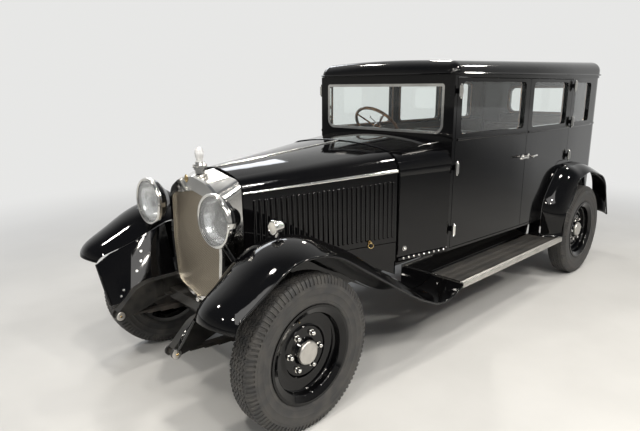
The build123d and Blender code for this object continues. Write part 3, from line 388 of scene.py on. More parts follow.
def grid(rows, loop=False, solid=False):
    """Faces between rows of points; a solid bar's rows are closed, and so are its ends unless it is a loop."""
    count = len(rows[0])
    faces = []
    for i in range(len(rows) if loop else len(rows) - 1):
        here, there = i * count, (i + 1) % len(rows) * count
        for j in range(count if solid else count - 1):
            after = (j + 1) % count
            faces.append((here + j, here + after, there + after, there + j))
    if solid and not loop:
        faces += [tuple(range(count)), tuple(range(len(rows) * count - count, len(rows) * count))]
    return [point for row in rows for point in row], faces


def turned_row(profile, at, angle):
    """Points of a profile of (radius, along), turned by an angle about the Z of a local frame."""
    return [at @ Vector((r * cos(angle), r * sin(angle), z)) for r, z in profile]


def lathe(profile, at, segments, solid=False):
    """A profile turned all the way round; a solid one is a closed loop."""
    rows = [turned_row(profile, at, 2 * pi * i / segments) for i in range(segments)]
    return grid(rows, loop=True, solid=solid)


def ring_of(count, radius, turn=0.0):
    """Points evenly round a circle."""
    angles = [2 * pi * i / count + turn for i in range(count)]
    return [(radius * cos(a), radius * sin(a)) for a in angles]


def ring(at, radius, thickness):
    """A ring of round wire about the Z of a local frame."""
    return lathe([(radius + a, b) for a, b in ring_of(10, thickness)], at, 28, solid=True)


def prism(outline, at, depth, bevel=0.0):
    """An outline of (x, y) in a local frame, with a thickness along its Z and bevelled edges."""
    middle = Vector((*(sum(values) / len(outline) for values in zip(*outline)), 0))
    rows = []
    for z, inset in ((0, bevel), (bevel, 0), (depth - bevel, 0), (depth, bevel)):
        row = []
        for x, y in outline:
            away = Vector((x, y, 0)) - middle
            away *= 1 - inset / max(away.length, 1e-6)
            row.append(at @ (middle + away + Vector((0, 0, z))))
        rows.append(row)
    return grid(rows, solid=True)


def rectangle(half_x, low, high=None):
    """An outline from -half_x to half_x and from low to high, or from -low to low."""
    if high is None:
        low, high = -low, low
    return (-half_x, low), (half_x, low), (half_x, high), (-half_x, high)


def box_shape(low, high, bevel):
    """An upright block with bevelled edges."""
    x, y = high[0] - low[0], high[1] - low[1]
    return prism(((0, 0), (x, 0), (x, y), (0, y)), Matrix.Translation(low), high[2] - low[2], bevel)


def tube(points, radius, sides=10, closed=False, section=None):
    """A round bar along a line of points, or a bar with its own section of (across, up)."""
    points = [Vector(point) for point in points]
    section = section or ring_of(sides, radius)
    rows = []
    count = len(points)
    up = None
    for i, point in enumerate(points):
        before = points[(i - 1) % count] if closed or i > 0 else point
        after = points[(i + 1) % count] if closed or i < count - 1 else point
        along = (after - before).normalized()
        if up is None:
            up = Vector((0, 0, 1)) if abs(along.z) < 0.9 else Vector((1, 0, 0))
        up = (up - along * along.dot(up)).normalized()
        across = along.cross(up)
        rows.append([point + across * a + up * b for a, b in section])
    return grid(rows, loop=closed, solid=True)


def tapered(start, end, radii, sides=18):
    """A round bar whose radius changes along it; radii are (share of the length, radius)."""
    along = Vector(end) - Vector(start)
    return lathe([(radius, share * along.length) for share, radius in radii], aim(Vector(start), along), sides)


def bolt_head(at, radius=0.006):
    """A small domed bolt on its washer, 5 mm high."""
    outline = ((0, 1), (0.55, 0.9), (1, 0.45), (1, 0.2), (1.5, 0.2), (1.5, 0))
    return lathe([(radius * across, 0.005 * up) for across, up in outline], at, 14)


def rounded_path(corners, step=0.02):
    """Points along straight lines joined by arcs; corners are (x, z) or (x, z, radius)."""
    line = []
    for i, corner in enumerate(corners):
        here = Vector((corner[0], corner[1]))
        if len(corner) == 2 or i in (0, len(corners) - 1):
            line.append(here)
            continue
        back = (Vector(corners[i - 1][:2]) - here).normalized()
        ahead = (Vector(corners[i + 1][:2]) - here).normalized()
        half = back.angle(ahead) / 2
        reach = corner[2] / tan(half)
        centre = here + (back + ahead).normalized() * (corner[2] / sin(half))
        start, end = here + back * reach - centre, here + ahead * reach - centre
        sweep = start.angle_signed(end)
        count = max(3, int(abs(sweep) * corner[2] / step))
        for k in range(count + 1):
            turn = Matrix.Rotation(-sweep * k / count, 2)
            line.append(centre + turn @ start)
    return line


def spread(line, step):
    """The same line with points about a step apart."""
    line = [Vector(point) for point in line]
    even = [line[0]]
    for a, b in zip(line, line[1:]):
        count = max(1, ceil((b - a).length / step))
        even += [a.lerp(b, k / count) for k in range(1, count + 1)]
    return even


def cubic(a, b, rise_a, rise_b, t):
    """A value between a and b that rises by these at its ends, at a share t of the way."""
    return ((2 * t ** 3 - 3 * t ** 2 + 1) * a + (t ** 3 - 2 * t ** 2 + t) * rise_a
            + (3 * t ** 2 - 2 * t ** 3) * b + (t ** 3 - t ** 2) * rise_b)


def around(items, i):
    """An item and the next, with the one before and the one after them, where there are such."""
    return items[i], items[i + 1], items[max(i - 1, 0)], items[min(i + 2, len(items) - 1)]


def smooth_line(points, between_points):
    """A smooth line through points."""
    line = []
    for i in range(len(points) - 1):
        a, b, before, after = around(points, i)
        for k in range(between_points):
            line.append(cubic(a, b, (b - before) / 2, (after - a) / 2, k / between_points))
    return line + [points[-1]]


def width_at(table, x):
    """Y at a place along the car, from a table of (x, y) that runs backward."""
    for (x0, y0), (x1, y1) in zip(table, table[1:]):
        if x >= x1:
            break
    return y0 + (y1 - y0) * (x0 - x) / (x0 - x1)


def placed(*points):
    return [place(*point) for point in points]


def facing(x, y, z, direction, up=(0, 0, 1)):
    """A local frame at a place, looking along a direction."""
    return aim(place(x, y, z), direction, up)


AHEAD, BACK, LEFT, UP = (1, 0, 0), (-1, 0, 0), (0, 1, 0), (0, 0, 1)


# Wheels

TYRE_RADIUS = 0.435
CROWN_FALL = 0.0035
PITCHES = 96
# Phase of each step in a pitch of the tread, and how far its lugs stand up there
PITCH_STEPS = ((0.0, 0.0), (0.07, 1.0), (0.3, 1.0), (0.53, 1.0), (0.6, 0.0), (0.8, 0.0))
# Radius and half width at the bead, radii on the side wall and those of its fine rings
BEAD = mm((262, 62), (272, 68), (280, 71.5), (284, 75.5), (290, 76.8))
WALL_RADII = (0.294, 0.2975, 0.3, 0.3025, 0.31, 0.322, 0.335, 0.338, 0.341, 0.355, 0.369, 0.372, 0.375)
WALL_RINGS = (0.3, 0.338, 0.372)
SHOULDER = 0.064
# Radius, half width and share of the tread's depth towards the shoulder
LUGS = ((0.389, 0.0845, 0.0), (0.391, 0.0842, 1.0), (0.402, 0.0815, 1.0), (0.412, 0.0775, 1.0),
        (0.421, 0.0725, 1.0), (0.4275, 0.068, 1.0), (0.4305, SHOULDER, 1.0))
ZIGZAG = 0.006
GROOVES = (-0.045, -0.022, 0.0, 0.022, 0.045)
GROOVE_DEPTH = 0.007
# Offset from a groove's middle, and share of its depth
GROOVE_SHAPE = ((-0.0036, 0), (-0.0028, 1), (0.0028, 1), (0.0036, 0))

# Wheel trim, measured outward from the wheel's middle plane
NUT_CIRCLE = 0.106
NUT_TURN = radians(30)
NUT = mm((0, 39.5), (6, 39), (10.5, 36.8), (13, 33), (13.7, 30.5), (13.7, 12.5), (17.2, 12.5), (17.2, 9))
HUB_CAP = mm((0, 53), (40, 52.6), (54.5, 51.8), (61, 50), (64.5, 46.5), (66, 42), (66.8, 37.5), (66.8, 30))
VALVE = mm((0, 34), (3, 34), (3.6, 30), (3.6, 10), (5.5, 9), (5.5, 0))


def side_wall():
    """Radius and half width from the bead to the shoulder, with the fine rings."""
    wall = list(BEAD)
    for radius in WALL_RADII:
        share = min((radius - 0.29) / 0.1, 1.0)
        half = 0.0768 + 0.0085 * sin(pi * share * 0.62)
        half += sum(0.0016 * exp(-((radius - middle) / 0.0028) ** 2) for middle in WALL_RINGS)
        wall.append((radius, half))
    return wall


def tyre_shape(at):
    """A tyre of rows from bead to bead, step by step round it."""
    wall = side_wall()
    edges = [(groove + offset, deep) for groove in GROOVES for offset, deep in GROOVE_SHAPE]
    rows = []
    for i in range(PITCHES):
        for phase, rise in PITCH_STEPS:
            zig = ZIGZAG * (1 - 4 * abs(phase - 0.5))
            cut = (1 - rise) * GROOVE_DEPTH
            half = wall + [(r - cut * lug * 0.35, w - cut * lug * 0.75) for r, w, lug in LUGS]
            middle = [(TYRE_RADIUS - CROWN_FALL * (y / SHOULDER) ** 2 - GROOVE_DEPTH * deep, y + zig)
                      for y, deep in edges]
            profile = [(r, -w) for r, w in half] + middle + half[::-1]
            rows.append(turned_row(profile, at, 2 * pi * (i + phase) / PITCHES))
    return grid(rows, loop=True)


def wheel_places():
    """Name, tyre's node, outward direction and body of each wheel."""
    places = [("spare", "spare_tyre", BACK, "chassis")]
    for side, way in SIDES:
        for end in ("front_", "rear_"):
            places.append((end + side, end + "tyre_" + side, (0, way, 0), end + "wheel_" + side))
    return places


def make_wheels():
    for name, tyre, outward, body in wheel_places():
        low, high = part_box(tyre)
        at = aim((low + high) / 2, outward)
        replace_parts(mesh_piece("tread_" + name, [tyre_shape(at)], "tyre", body, crease=28), tyre)
        nuts = [lathe(NUT, shifted(at, x, y, 0), 20) for x, y in ring_of(6, NUT_CIRCLE, NUT_TURN)]
        mesh_piece("nuts_" + name, nuts, "nickel", body)
        mesh_piece("hub_cap_" + name, [lathe(HUB_CAP, at, 72)], "aluminium", body)
        stem = aim(at @ Vector((0.205, 0.06, 0.012)), at.to_3x3() @ Vector((-0.35, 0, 1)))
        mesh_piece("valve_" + name, [lathe(VALVE, stem, 14)], "brass", body)


# Lamps and radiator trim

LAMP_GLASS = 0.1345
LENS_RINGS = 26
LENS_STEPS = 96
HEADLAMPS = [facing(0.281, y, 1.131, AHEAD) for y in (0.361, -0.361)]
SIDE_LAMPS = [facing(0.112, y, 1.121, AHEAD) for y in (0.65, -0.65)]
TAIL_LAMP = [facing(-4.38, 0.52, 0.74, BACK)]
CAP = facing(0.118, 0, 1.3655, UP, AHEAD)
COLLAR = mm((30, 12), (40, 12.5), (42, 15), (40, 18.5), (30, 20), (27, 26), (29, 29), (27, 32), (0, 34))
BADGE = mm((26, 0), (12, 16), (-10, 18), (-26, 0), (-10, -18), (12, -16))
FOOT = mm((18, 0), (10, 16), (-8, 14), (-16, 0), (-8, -14), (10, -16))
# Name, places, segments, finish, crease and profile of each turned piece
TURNED = (
    ("headlamp_rims", HEADLAMPS, 96, "nickel", 50,
     mm((132.5, -10), (131.5, 0), (136.5, 4), (142.5, 3.5), (147.5, -1), (149, -8), (147.8, -16), (149, -21),
        (144, -24))),
    ("headlamp_mirrors", HEADLAMPS, 64, "mirror", 80,
     mm((118, -30), (112, -42), (98, -66), (75, -92), (45, -110), (10, -117))),
    ("headlamp_bulbs", HEADLAMPS, 24, "lamp_glass", 60,
     mm((0, -48), (10, -51), (15, -60), (13, -74), (8, -84), (8, -110))),
    ("side_lamp_rims", SIDE_LAMPS, 40, "nickel", 35, mm((29, 3), (31, 6), (36, 5), (38.5, 0), (37.5, -8))),
    ("side_lamp_glasses", SIDE_LAMPS, 40, "opal", 35,
     mm((0, 8.5), (10, 7.8), (20, 6.2), (29.5, 3.6), (29.5, 0.5))),
    ("tail_lamp_rim", TAIL_LAMP, 36, "nickel", 35, mm((28, 2), (31, 5), (35.5, 3), (36.5, -4), (34.5, -10))),
    ("tail_lamp_glass", TAIL_LAMP, 36, "red_glass", 35, mm((0, 6), (12, 5.5), (22, 4.2), (28.5, 2), (28.5, -1))),
    ("cap_plume", [CAP], 40, "clear_glass", 60,
     mm((0, 118), (9, 116), (19, 108), (25.5, 94), (26.5, 80), (23.5, 62), (19.5, 48), (18.5, 40), (21.5, 36),
        (21.5, 32), (0, 32))),
)


def fluted_lens(at):
    """A slightly domed front glass with upright flutes, closed behind."""
    rows = []
    for k in range(LENS_RINGS + 1):
        share = k / LENS_RINGS
        dome = 0.009 * (1 - share ** 2) - 0.004
        flute = 0.0009 * min(1.0, (1 - share) * 6)
        rows.append([at @ Vector((x, y, dome + flute * cos(y * 2 * pi / 0.011)))
                     for x, y in ring_of(LENS_STEPS, LAMP_GLASS * share)])
    rows.append([at @ Vector((x, y, -0.0095)) for x, y in ring_of(LENS_STEPS, LAMP_GLASS)])
    points, faces = grid(rows, solid=True)
    # The first ring is a single point and needs no end face
    del faces[-2]
    return points, faces


def make_lamps():
    for name, places, segments, finish, crease, profile in TURNED:
        mesh_piece(name, [lathe(profile, at, segments) for at in places], finish, crease=crease)
    glasses = mesh_piece("headlamp_glasses", [fluted_lens(at) for at in HEADLAMPS], "lamp_glass", crease=60)
    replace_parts(glasses, "headlamp_lenses")
    clamps = []
    for at in HEADLAMPS:
        clamps.append(prism(rectangle(0.013, -0.009, 0.008), shifted(at, 0, -0.149, -0.036), 0.04, 0.003))
        clamps.append(prism(ring_of(8, 0.006), shifted(at, 0, -0.153, 0.002), 0.01, 0.001))
    mesh_piece("headlamp_clamps", clamps, "nickel")


def make_radiator_trim():
    """The hexagon and collar of the cap, a bare badge and the boss at the shell's foot."""
    mesh_piece("cap_ring", [prism(ring_of(6, 0.0485), CAP, 0.012, 0.002), lathe(COLLAR, CAP, 48)], "nickel")
    mesh_piece("badge", [prism(BADGE, facing(0.1765, -0.06, 1.3, AHEAD), 0.003, 0.001)], "brass")
    mesh_piece("radiator_foot", [prism(FOOT, facing(0.176, 0, 0.563, AHEAD), 0.012, 0.003)], "nickel")


# Hood, cowl and body trim

HOOD_LINE = mm((14, 268, 1228), (-1030, 552, 1277))
HOOD_SIDE = [(x, y) for x, y, z in HOOD_LINE]
COWL_SIDE = mm((-1040, 560), (-1512, 652))
CENTRE_LINE = mm((14, 0, 1355), (-1030, 0, 1439))
# Share of the length and radius
BEAD_TAPER = ((0.0, 0.0), (0.0, 0.0085), (0.25, 0.009), (0.6, 0.0108), (0.999, 0.013), (1.0, 0.0))
KNUCKLES = 26
KNUCKLE = ((0, 0.0), (0, 0.0072), (1, 0.0072), (1, 0.0))
CATCH = mm((0, 20), (7, 19), (8.5, 14), (5, 10), (5, 4), (11, 3), (12, 0))
LEDGE = mm((-5, -14), (6, -14), (9, -4), (6, 12), (0, 16), (-5, 16))
LEDGE_BOLTS = 9
HOOD_STOP = mm((0, 12), (11, 11), (14, 7), (14, 3), (18, 2), (18, 0))
# Edge of the cowl, as (y, z)
COWL_EDGE = mm((566, 700), (566, 1000), (566, 1235), (541, 1310), (500, 1360), (448, 1403), (300, 1426),
               (150, 1439), (0, 1443.5))
# Edge of the roof seen from above, as (x, y, radius of the corner)
EAVES = mm((-1501, 663, 50), (-2550, 716, 8000), (-3450, 716, 8000), (-4301, 675, 240))
DRIP = mm((-6, -5), (2, -6), (7.5, -3), (9, 2), (6, 6), (2, 4), (-2, 6), (-6, 6))


def make_hood_trim():
    """The bead along each trim line, the catches at the foot and the knuckles of the centre hinge."""
    side_pieces("hood_bead", [tapered(*placed(*HOOD_LINE), BEAD_TAPER)], "nickel", "hood_side")
    catches = []
    outward = Vector((0.263, 0.965, 0))
    for x in (-0.22, -0.82):
        catches.append(lathe(CATCH, facing(x, width_at(HOOD_SIDE, x) + 0.007, 0.822, outward), 24))
        hanging = facing(x, width_at(HOOD_SIDE, x) + 0.018, 0.799, outward + Vector((0.5, 0, 0.1)))
        catches.append(ring(hanging, 0.0175, 0.0033))
    side_pieces("hood_catches", catches, "brass", "hood_side")
    start, end = placed(*CENTRE_LINE)
    half = (end - start).normalized() * 0.0185
    middles = [start.lerp(end, (k + 0.5) / KNUCKLES) for k in range(KNUCKLES)]
    mesh_piece("hood_hinge_knuckles", [tapered(at - half, at + half, KNUCKLE, 14) for at in middles], "nickel")


def make_cowl_trim():
    """The bolted ledge at the cowl's foot, a hood stop and the edge that the hood closes on."""
    ledges = []
    for side, way in SIDES:
        ends = [place(x, (width_at(COWL_SIDE, x) + 0.004) * way, 0.664) for x in (-1.046, -1.506)]
        ledges.append(tube(ends, 0, section=LEDGE))
    bolts = []
    for k in range(LEDGE_BOLTS):
        x = -1.09 - 0.047 * k
        bolts.append(bolt_head(facing(x, width_at(COWL_SIDE, x) + 0.012, 0.668, (0.19, 1, 0.25))))
    bolts.append(lathe(HOOD_STOP, facing(-1.105, width_at(COWL_SIDE, -1.105) + 0.001, 0.735, (0.19, 1, 0)), 24))
    edge = tube(smooth_line([place(-1.0435, y, z) for y, z in COWL_EDGE], 6), 0.0035, 8)
    mesh_piece("cowl_ledges", ledges, "black_enamel")
    mesh_piece("cowl_bolts", both(bolts), "nickel")
    mesh_piece("cowl_edge_bead", both([edge]), "black_enamel")


def make_roof_trim():
    """The drip moulding along the roof's edge, which rises a little towards the tail."""
    right = [(x, -y, radius) for x, y, radius in reversed(EAVES)]
    front = (EAVES[0][0], 0.0)
    line = spread(rounded_path([front, *EAVES, *right, front]), 0.04)[:-1]
    points = [place(x, y, 1.9065 + 0.02 * min(1.0, max(0.0, (-1.6 - x) / 2.6))) for x, y in line]
    mesh_piece("drip_moulding", [tube(points, 0, closed=True, section=DRIP)], "black_enamel")


# Place of each door's hinge axis and heights of its barrels
HINGES = {"front_door": (-1.54, 0.684, (1.787, 1.254, 0.805)), "rear_door": (-3.403, 0.726, (1.82, 1.5, 1.19))}
HALF_BARREL = mm((14, 11), (13, 11.5), (13, 12), (14, 12.5), (14, 37), (11.5, 40), (6, 42), (8, 46), (6, 50),
                 (0, 52))
BARREL = [(radius, -up) for radius, up in reversed(HALF_BARREL)] + list(HALF_BARREL)
# Place of each door's handle along the body, and the way that its lever points
HANDLES = {"front_door": (-2.5, 1), "rear_door": (-2.602, -1)}
HANDLE_Y, HANDLE_Z = 0.7035, 1.25
ROSE = mm((0, 13), (10, 12), (12, 7), (22, 4), (23.5, 0))
NECK = mm((0, 52), (10, 50), (11.5, 44), (9.5, 36), (7.5, 22), (8.5, 10))
LEVER_LINE = mm((0, 43, 0), (22, 44, 1), (55, 43, 2), (88, 38, 0.5), (108, 32, -2))
LEVER_RADII = (0.0085, 0.008, 0.007, 0.0065, 0.007, 0.008, 0.0086, 0.008, 0.0055, 0.0)


def handle_lever(x, lever_way):
    """The flattened lever of a door handle, thicker towards its ends."""
    path = smooth_line([place(x + lever_way * a, HANDLE_Y + b, HANDLE_Z + c) for a, b, c in LEVER_LINE], 4)
    rows = []
    for k, point in enumerate(path):
        share = k / (len(path) - 1) * (len(LEVER_RADII) - 1)
        low = int(min(share, len(LEVER_RADII) - 2))
        radius = LEVER_RADII[low] + (LEVER_RADII[low + 1] - LEVER_RADII[low]) * (share - low)
        rows.append([point + Vector((0, a * 0.75, b * 1.15)) for a, b in ring_of(14, max(radius, 0.0008))])
    return grid(rows, solid=True)


def make_door_trim():
    for door, (x, y, heights) in HINGES.items():
        barrels = [lathe(BARREL, facing(x, y, z, UP, AHEAD), 24) for z in heights]
        side_pieces(door + "_hinges", barrels, "nickel", door)
    for door, (x, lever_way) in HANDLES.items():
        at = facing(x, HANDLE_Y, HANDLE_Z, LEFT)
        shapes = [lathe(ROSE, at, 32), lathe(NECK, at, 20), handle_lever(x, lever_way)]
        side_pieces(door + "_handle", shapes, "nickel", door)


# Fender edges, running boards and frame ends

EDGE_Y = 0.8665
# Crown line of each fender, as (x, z) or (x, z, radius), and the drop of its edge below the crown
FENDERS = {
    "front": (
        ((0.583, 0.752), (0.558, 0.83, 0.15), (0.18, 1.061, 0.4), (-0.12, 1.061, 0.6), (-1.195, 0.396, 0.3),
         (-1.402, 0.474)),
        ((0.0, 0.066), (0.06, 0.068), (0.14, 0.068), (0.24, 0.068), (0.34, 0.068), (0.46, 0.068), (0.58, 0.068),
         (0.68, 0.068), (0.77, 0.062), (0.85, 0.04), (0.93, 0.014), (1.0, 0.004))),
    "rear": (
        ((-2.965, 0.487), (-2.965, 0.8, 0.26), (-3.23, 1.106, 0.26), (-3.6, 1.112, 0.5), (-4.08, 0.98, 0.32),
         (-4.275, 0.54)),
        ((0.0, 0.122), (0.08, 0.13), (0.17, 0.178), (0.26, 0.19), (0.35, 0.155), (0.44, 0.105), (0.53, 0.076),
         (0.64, 0.066), (0.76, 0.066), (0.88, 0.066), (1.0, 0.066))),
}


def smooth_value(table, share):
    """A value from a table of (share, value), on a smooth curve through its rows."""
    index = 0
    while index < len(table) - 2 and share > table[index + 1][0]:
        index += 1
    (x1, y1), (x2, y2), (x0, y0), (x3, y3) = around(table, index)
    width = x2 - x1
    return cubic(y1, y2, (y2 - y0) / (x2 - x0) * width, (y3 - y1) / (x3 - x1) * width, (share - x1) / width)


def fender_edge(crown, drops):
    """Points along a fender's edge, from its crown line and the edge's drop below it."""
    line = spread(rounded_path(crown), 0.025)
    total = sum((b - a).length for a, b in zip(line, line[1:]))
    points = []
    passed = 0.0
    for i, point in enumerate(line):
        before, after = line[max(i - 1, 0)], line[min(i + 1, len(line) - 1)]
        passed += (point - before).length
        along = (after - before).normalized()
        drop = smooth_value(drops, min(passed / total, 1.0)) + 0.003
        points.append(place(point.x - along.y * drop, EDGE_Y, point.y + along.x * drop))
    return points


def make_fender_edges():
    """The rolled wire edge round the outside of each fender."""
    for end, (crown, drops) in FENDERS.items():
        side_pieces(end + "_fender_edge", [tube(fender_edge(crown, drops), 0.0065, 12)], "black_enamel")


BOARD_ENDS = (-1.409, -3.078)
BOARD_TOP = 0.478
RIBS = 25
RIB_PITCH = 0.0096
# Sections of the boards' parts as (y, z), and of a strip across as (backward, up)
RIB = mm((0, 1.2), (1.6, 4.2), (5.6, 4.2), (7.2, 1.2))
BOARD_EDGE = mm((842.5, 478), (842.5, 481.5), (845, 483.5), (847.5, 481.5), (850, 483.5), (852.5, 481.5),
                (855, 483.5), (857.5, 481.5), (862, 483.5), (867.5, 481.5), (869, 477), (869, 465), (866.5, 462.5),
                (869, 460), (869, 445), (866, 441), (862.2, 441), (862.2, 478))
INNER_STRIP = mm((586, 478), (586.5, 481.5), (590, 483.2), (596, 483.2), (599, 481.5), (599.5, 478))
CROSS_STRIP = mm((0, 0), (0.6, 3.6), (3.5, 5.2), (10.5, 5.2), (13.4, 3.6), (14, 0))


def bar_along(section, x_start, x_end):
    """A bar of one (y, z) section along a running board."""
    return grid([[place(x, y, z) for y, z in section] for x in (x_start, x_end)], solid=True)


def make_boards():
    front, rear = BOARD_ENDS
    mat = [(0.599, BOARD_TOP)]
    for k in range(RIBS):
        mat += [(0.601 + RIB_PITCH * k + y, BOARD_TOP + z) for y, z in RIB]
    mat.append((0.601 + RIB_PITCH * RIBS, BOARD_TOP))
    strips = [bar_along(INNER_STRIP, front, rear)]
    for x in (front, rear + 0.014):
        strips.append(grid([[place(x - a, y, BOARD_TOP + b) for a, b in CROSS_STRIP] for y in (0.588, 0.843)],
                           solid=True))
    mesh_piece("board_mats", both([bar_along(mat, front - 0.018, rear + 0.018)]), "ribbed_mat", crease=20)
    mesh_piece("board_edges", both([bar_along(BOARD_EDGE, front, rear)]), "aluminium", crease=20)
    mesh_piece("board_strips", both(strips), "nickel")


HORN_CAP = mm((0, 6), (12, 6), (22.5, 4.5), (26.2, 2), (26.8, -3))


def make_horn_caps():
    """Round caps with brass bolts on both faces of each frame horn."""
    places = [facing(0.542, y, 0.47, (0, way, 0)) for y, way in ((0.3695, 1), (0.2935, -1))]
    bolts = [prism(ring_of(6, 0.007), shifted(at, 0, 0, 0.0055), 0.005, 0.001) for at in places]
    mesh_piece("horn_caps", both([lathe(HORN_CAP, at, 40) for at in places]), "aluminium")
    mesh_piece("horn_bolts", both(bolts), "brass")


# Cabin

# Inner face of the side walls and doors, as (x, y)
SIDE_INSIDE = mm((-1550, 610.5), (-1580, 612), (-2000, 633.7), (-2500, 658.6), (-2600, 661.3), (-3000, 663),
                 (-3370, 662), (-3450, 660.3), (-3700, 650.2), (-4000, 634.7), (-4200, 557))
WINDOWS = {"front_door": (-2.482, -1.606), "rear_door": (-3.3, -2.618), "quarter": (-3.9, -3.478)}
WINDOW_LOW, WINDOW_HIGH, WINDOW_CORNER = 1.49, 1.85, 0.034
SCREEN_WALL, REAR_WALL, DASH_FACE = -1.554, -4.248, -1.6
FLOOR, REAR_FLOOR = 0.661, 0.749
# Share of a moulding's width and of its rise
MOULDING = ((0.0, 0.0), (0.0, 0.55), (0.18, 0.95), (0.35, 1.0), (0.62, 0.72), (0.7, 0.8), (0.95, 0.55), (1.0, 0.0))


def off_wall(x, z, out):
    """A point that far inwards from the cabin's left wall."""
    return place(x, width_at(SIDE_INSIDE, x) - out, z)


def rounded_rectangle(low, high, radius, inset=0.0):
    """Points round a rectangle with round corners, drawn inside it by the inset."""
    right, left = high[0] - radius, low[0] + radius
    top, foot = high[1] - radius, low[1] + radius
    corners = []
    for k, centre in enumerate(((right, top), (left, top), (left, foot), (right, foot))):
        for step in range(7):
            angle = radians(90 * k + 15 * step)
            corners.append(Vector(centre) + Vector((cos(angle), sin(angle))) * (radius - inset))
    outline = []
    for k, (a, b) in enumerate(zip(corners, corners[1:] + corners[:1])):
        count = 8 if k % 7 == 6 else 1
        outline += [a.lerp(b, j / count) for j in range(count)]
    return outline


def window_moulding(low, high, width, rise, at):
    """A wooden moulding round a window; at(u, v, out) gives a point that far off the wall."""
    rows = []
    for share, out in MOULDING:
        outline = rounded_rectangle(low, high, WINDOW_CORNER, -width * share)
        rows.append([at(u, v, out * rise) for u, v in outline])
    return grid(rows, loop=True, solid=True)


def make_woodwork():
    """Polished mouldings round the windows and a capping rail on the dashboard."""
    for name, (rear, front) in WINDOWS.items():
        moulding = window_moulding((rear, WINDOW_LOW), (front, WINDOW_HIGH), 0.021, 0.012, off_wall)
        side_pieces(name + "_woodwork", [moulding], "wood", "chassis" if name == "quarter" else name)
    screen = window_moulding((-0.562, 1.488), (0.562, 1.842), 0.024, 0.013,
                             lambda y, z, out: place(SCREEN_WALL - out, y, z))
    rear = window_moulding((-0.33, 1.545), (0.33, 1.8), 0.028, 0.012,
                           lambda y, z, out: place(REAR_WALL + out, y, z))
    capping = box_shape(place(-1.61, -0.598, 1.4125), place(-1.556, 0.598, 1.43), 0.006)
    mesh_piece("screen_woodwork", [screen, rear, capping], "wood")


PANEL_RISE, PANEL_BEVEL = 0.007, 0.003


def wall_panel(outline):
    """A panel with bevelled edges lying on the cabin's left wall, from an outline of (x, z)."""
    middle = sum(outline, Vector((0, 0))) / len(outline)
    rows = []
    for out, inset in ((0.0, 0.0), (PANEL_RISE - PANEL_BEVEL, 0.0), (PANEL_RISE, PANEL_BEVEL)):
        points = [middle + (corner - middle) * (1 - inset / (corner - middle).length) for corner in outline]
        rows.append([off_wall(x, z, out) for x, z in points])
    return grid(rows, solid=True)


def outlined(corners, step):
    """A closed outline with points about a step apart."""
    return spread([*corners, corners[0]], step)[:-1]


# Outline of each door's card, ends of its rail, place and reach of its lever, and place of its window winder
CARDS = {
    "front_door": (
        rounded_rectangle((-2.528, 0.69), (-1.59, 1.452), 0.02), (-2.52, -1.598), (-2.455, 0.085), -1.96),
    "rear_door": (
        outlined(((-2.575, 0.69), (-2.575, 1.452), (-3.38, 1.452), (-3.38, 1.18), (-3.36, 1.16), (-3.15, 1.14),
                  (-3.085, 1.06), (-3.035, 1.0), (-2.99, 0.95), (-2.945, 0.9), (-2.905, 0.85), (-2.885, 0.8),
                  (-2.88, 0.75), (-2.88, 0.69)), 0.1),
        (-3.372, -2.583), (-2.65, -0.085), -3.05),
}
RAIL_Z = 1.395
LEVER_ROSE = mm((0, 24), (8, 23), (9.5, 10), (17, 6), (21, 4), (22, 0))
WINDER_KNOB = mm((0, 30), (6, 29), (9, 22), (7, 10), (5.5, 0), (0, 0))
QUARTER_PANEL = mm((-3460, 1060), (-3460, 1452), (-3980, 1452), (-4100, 1452), (-4100, 1060))
PILLAR_PANEL = mm((-3935, 1470), (-3935, 1880), (-4100, 1880), (-4100, 1470))


def inside_lever(x, z, reach, drop):
    """A rose with a lever on the inside of a door, and the end of the lever."""
    y = width_at(SIDE_INSIDE, x) - PANEL_RISE
    rose = lathe(LEVER_ROSE, facing(x, y, z, (0, -1, 0)), 24)
    line = [place(x + reach * k, y - 0.019 - 0.008 * k, z - drop * k) for k in (0.0, 0.35, 0.7, 1.0)]
    return [rose, tube(line, 0.0045, 10)], line[-1]


def make_door_cards():
    for door, (card, rail, (lever, reach), winder) in CARDS.items():
        edge = tube([off_wall(x, z, PANEL_RISE * 0.6) for x, z in card], 0.0045, 8, closed=True)
        side_pieces(door + "_card", [wall_panel(card), edge], "upholstery", door)
        line = [off_wall(x, z, PANEL_RISE) for x, z in spread([(x, RAIL_Z) for x in rail], 0.06)]
        side_pieces(door + "_card_rail", [tube(line, 0.005, 8)], "wood", door)
        handle, _ = inside_lever(lever, 1.25, reach, 0.006)
        crank, end = inside_lever(winder, 1.12, 0.045, 0.07)
        knob = lathe(WINDER_KNOB, aim(end, (0, -1, 0)), 18)
        side_pieces(door + "_inside_handles", handle + crank + [knob], "nickel", door)


def make_side_lining():
    """Cloth-covered panels on the quarters and the tail, inside."""
    panels = both([wall_panel(outlined(corners, 0.06)) for corners in (QUARTER_PANEL, PILLAR_PANEL)])
    panels.append(box_shape(place(REAR_WALL, -0.44, 1.06), place(REAR_WALL + 0.008, 0.44, 1.505), 0.003))
    mesh_piece("side_lining", panels, "upholstery")


LINING_ENDS = (-1.575, -4.215)
LINING_ROWS = 88
HOOP_PITCH = 0.377


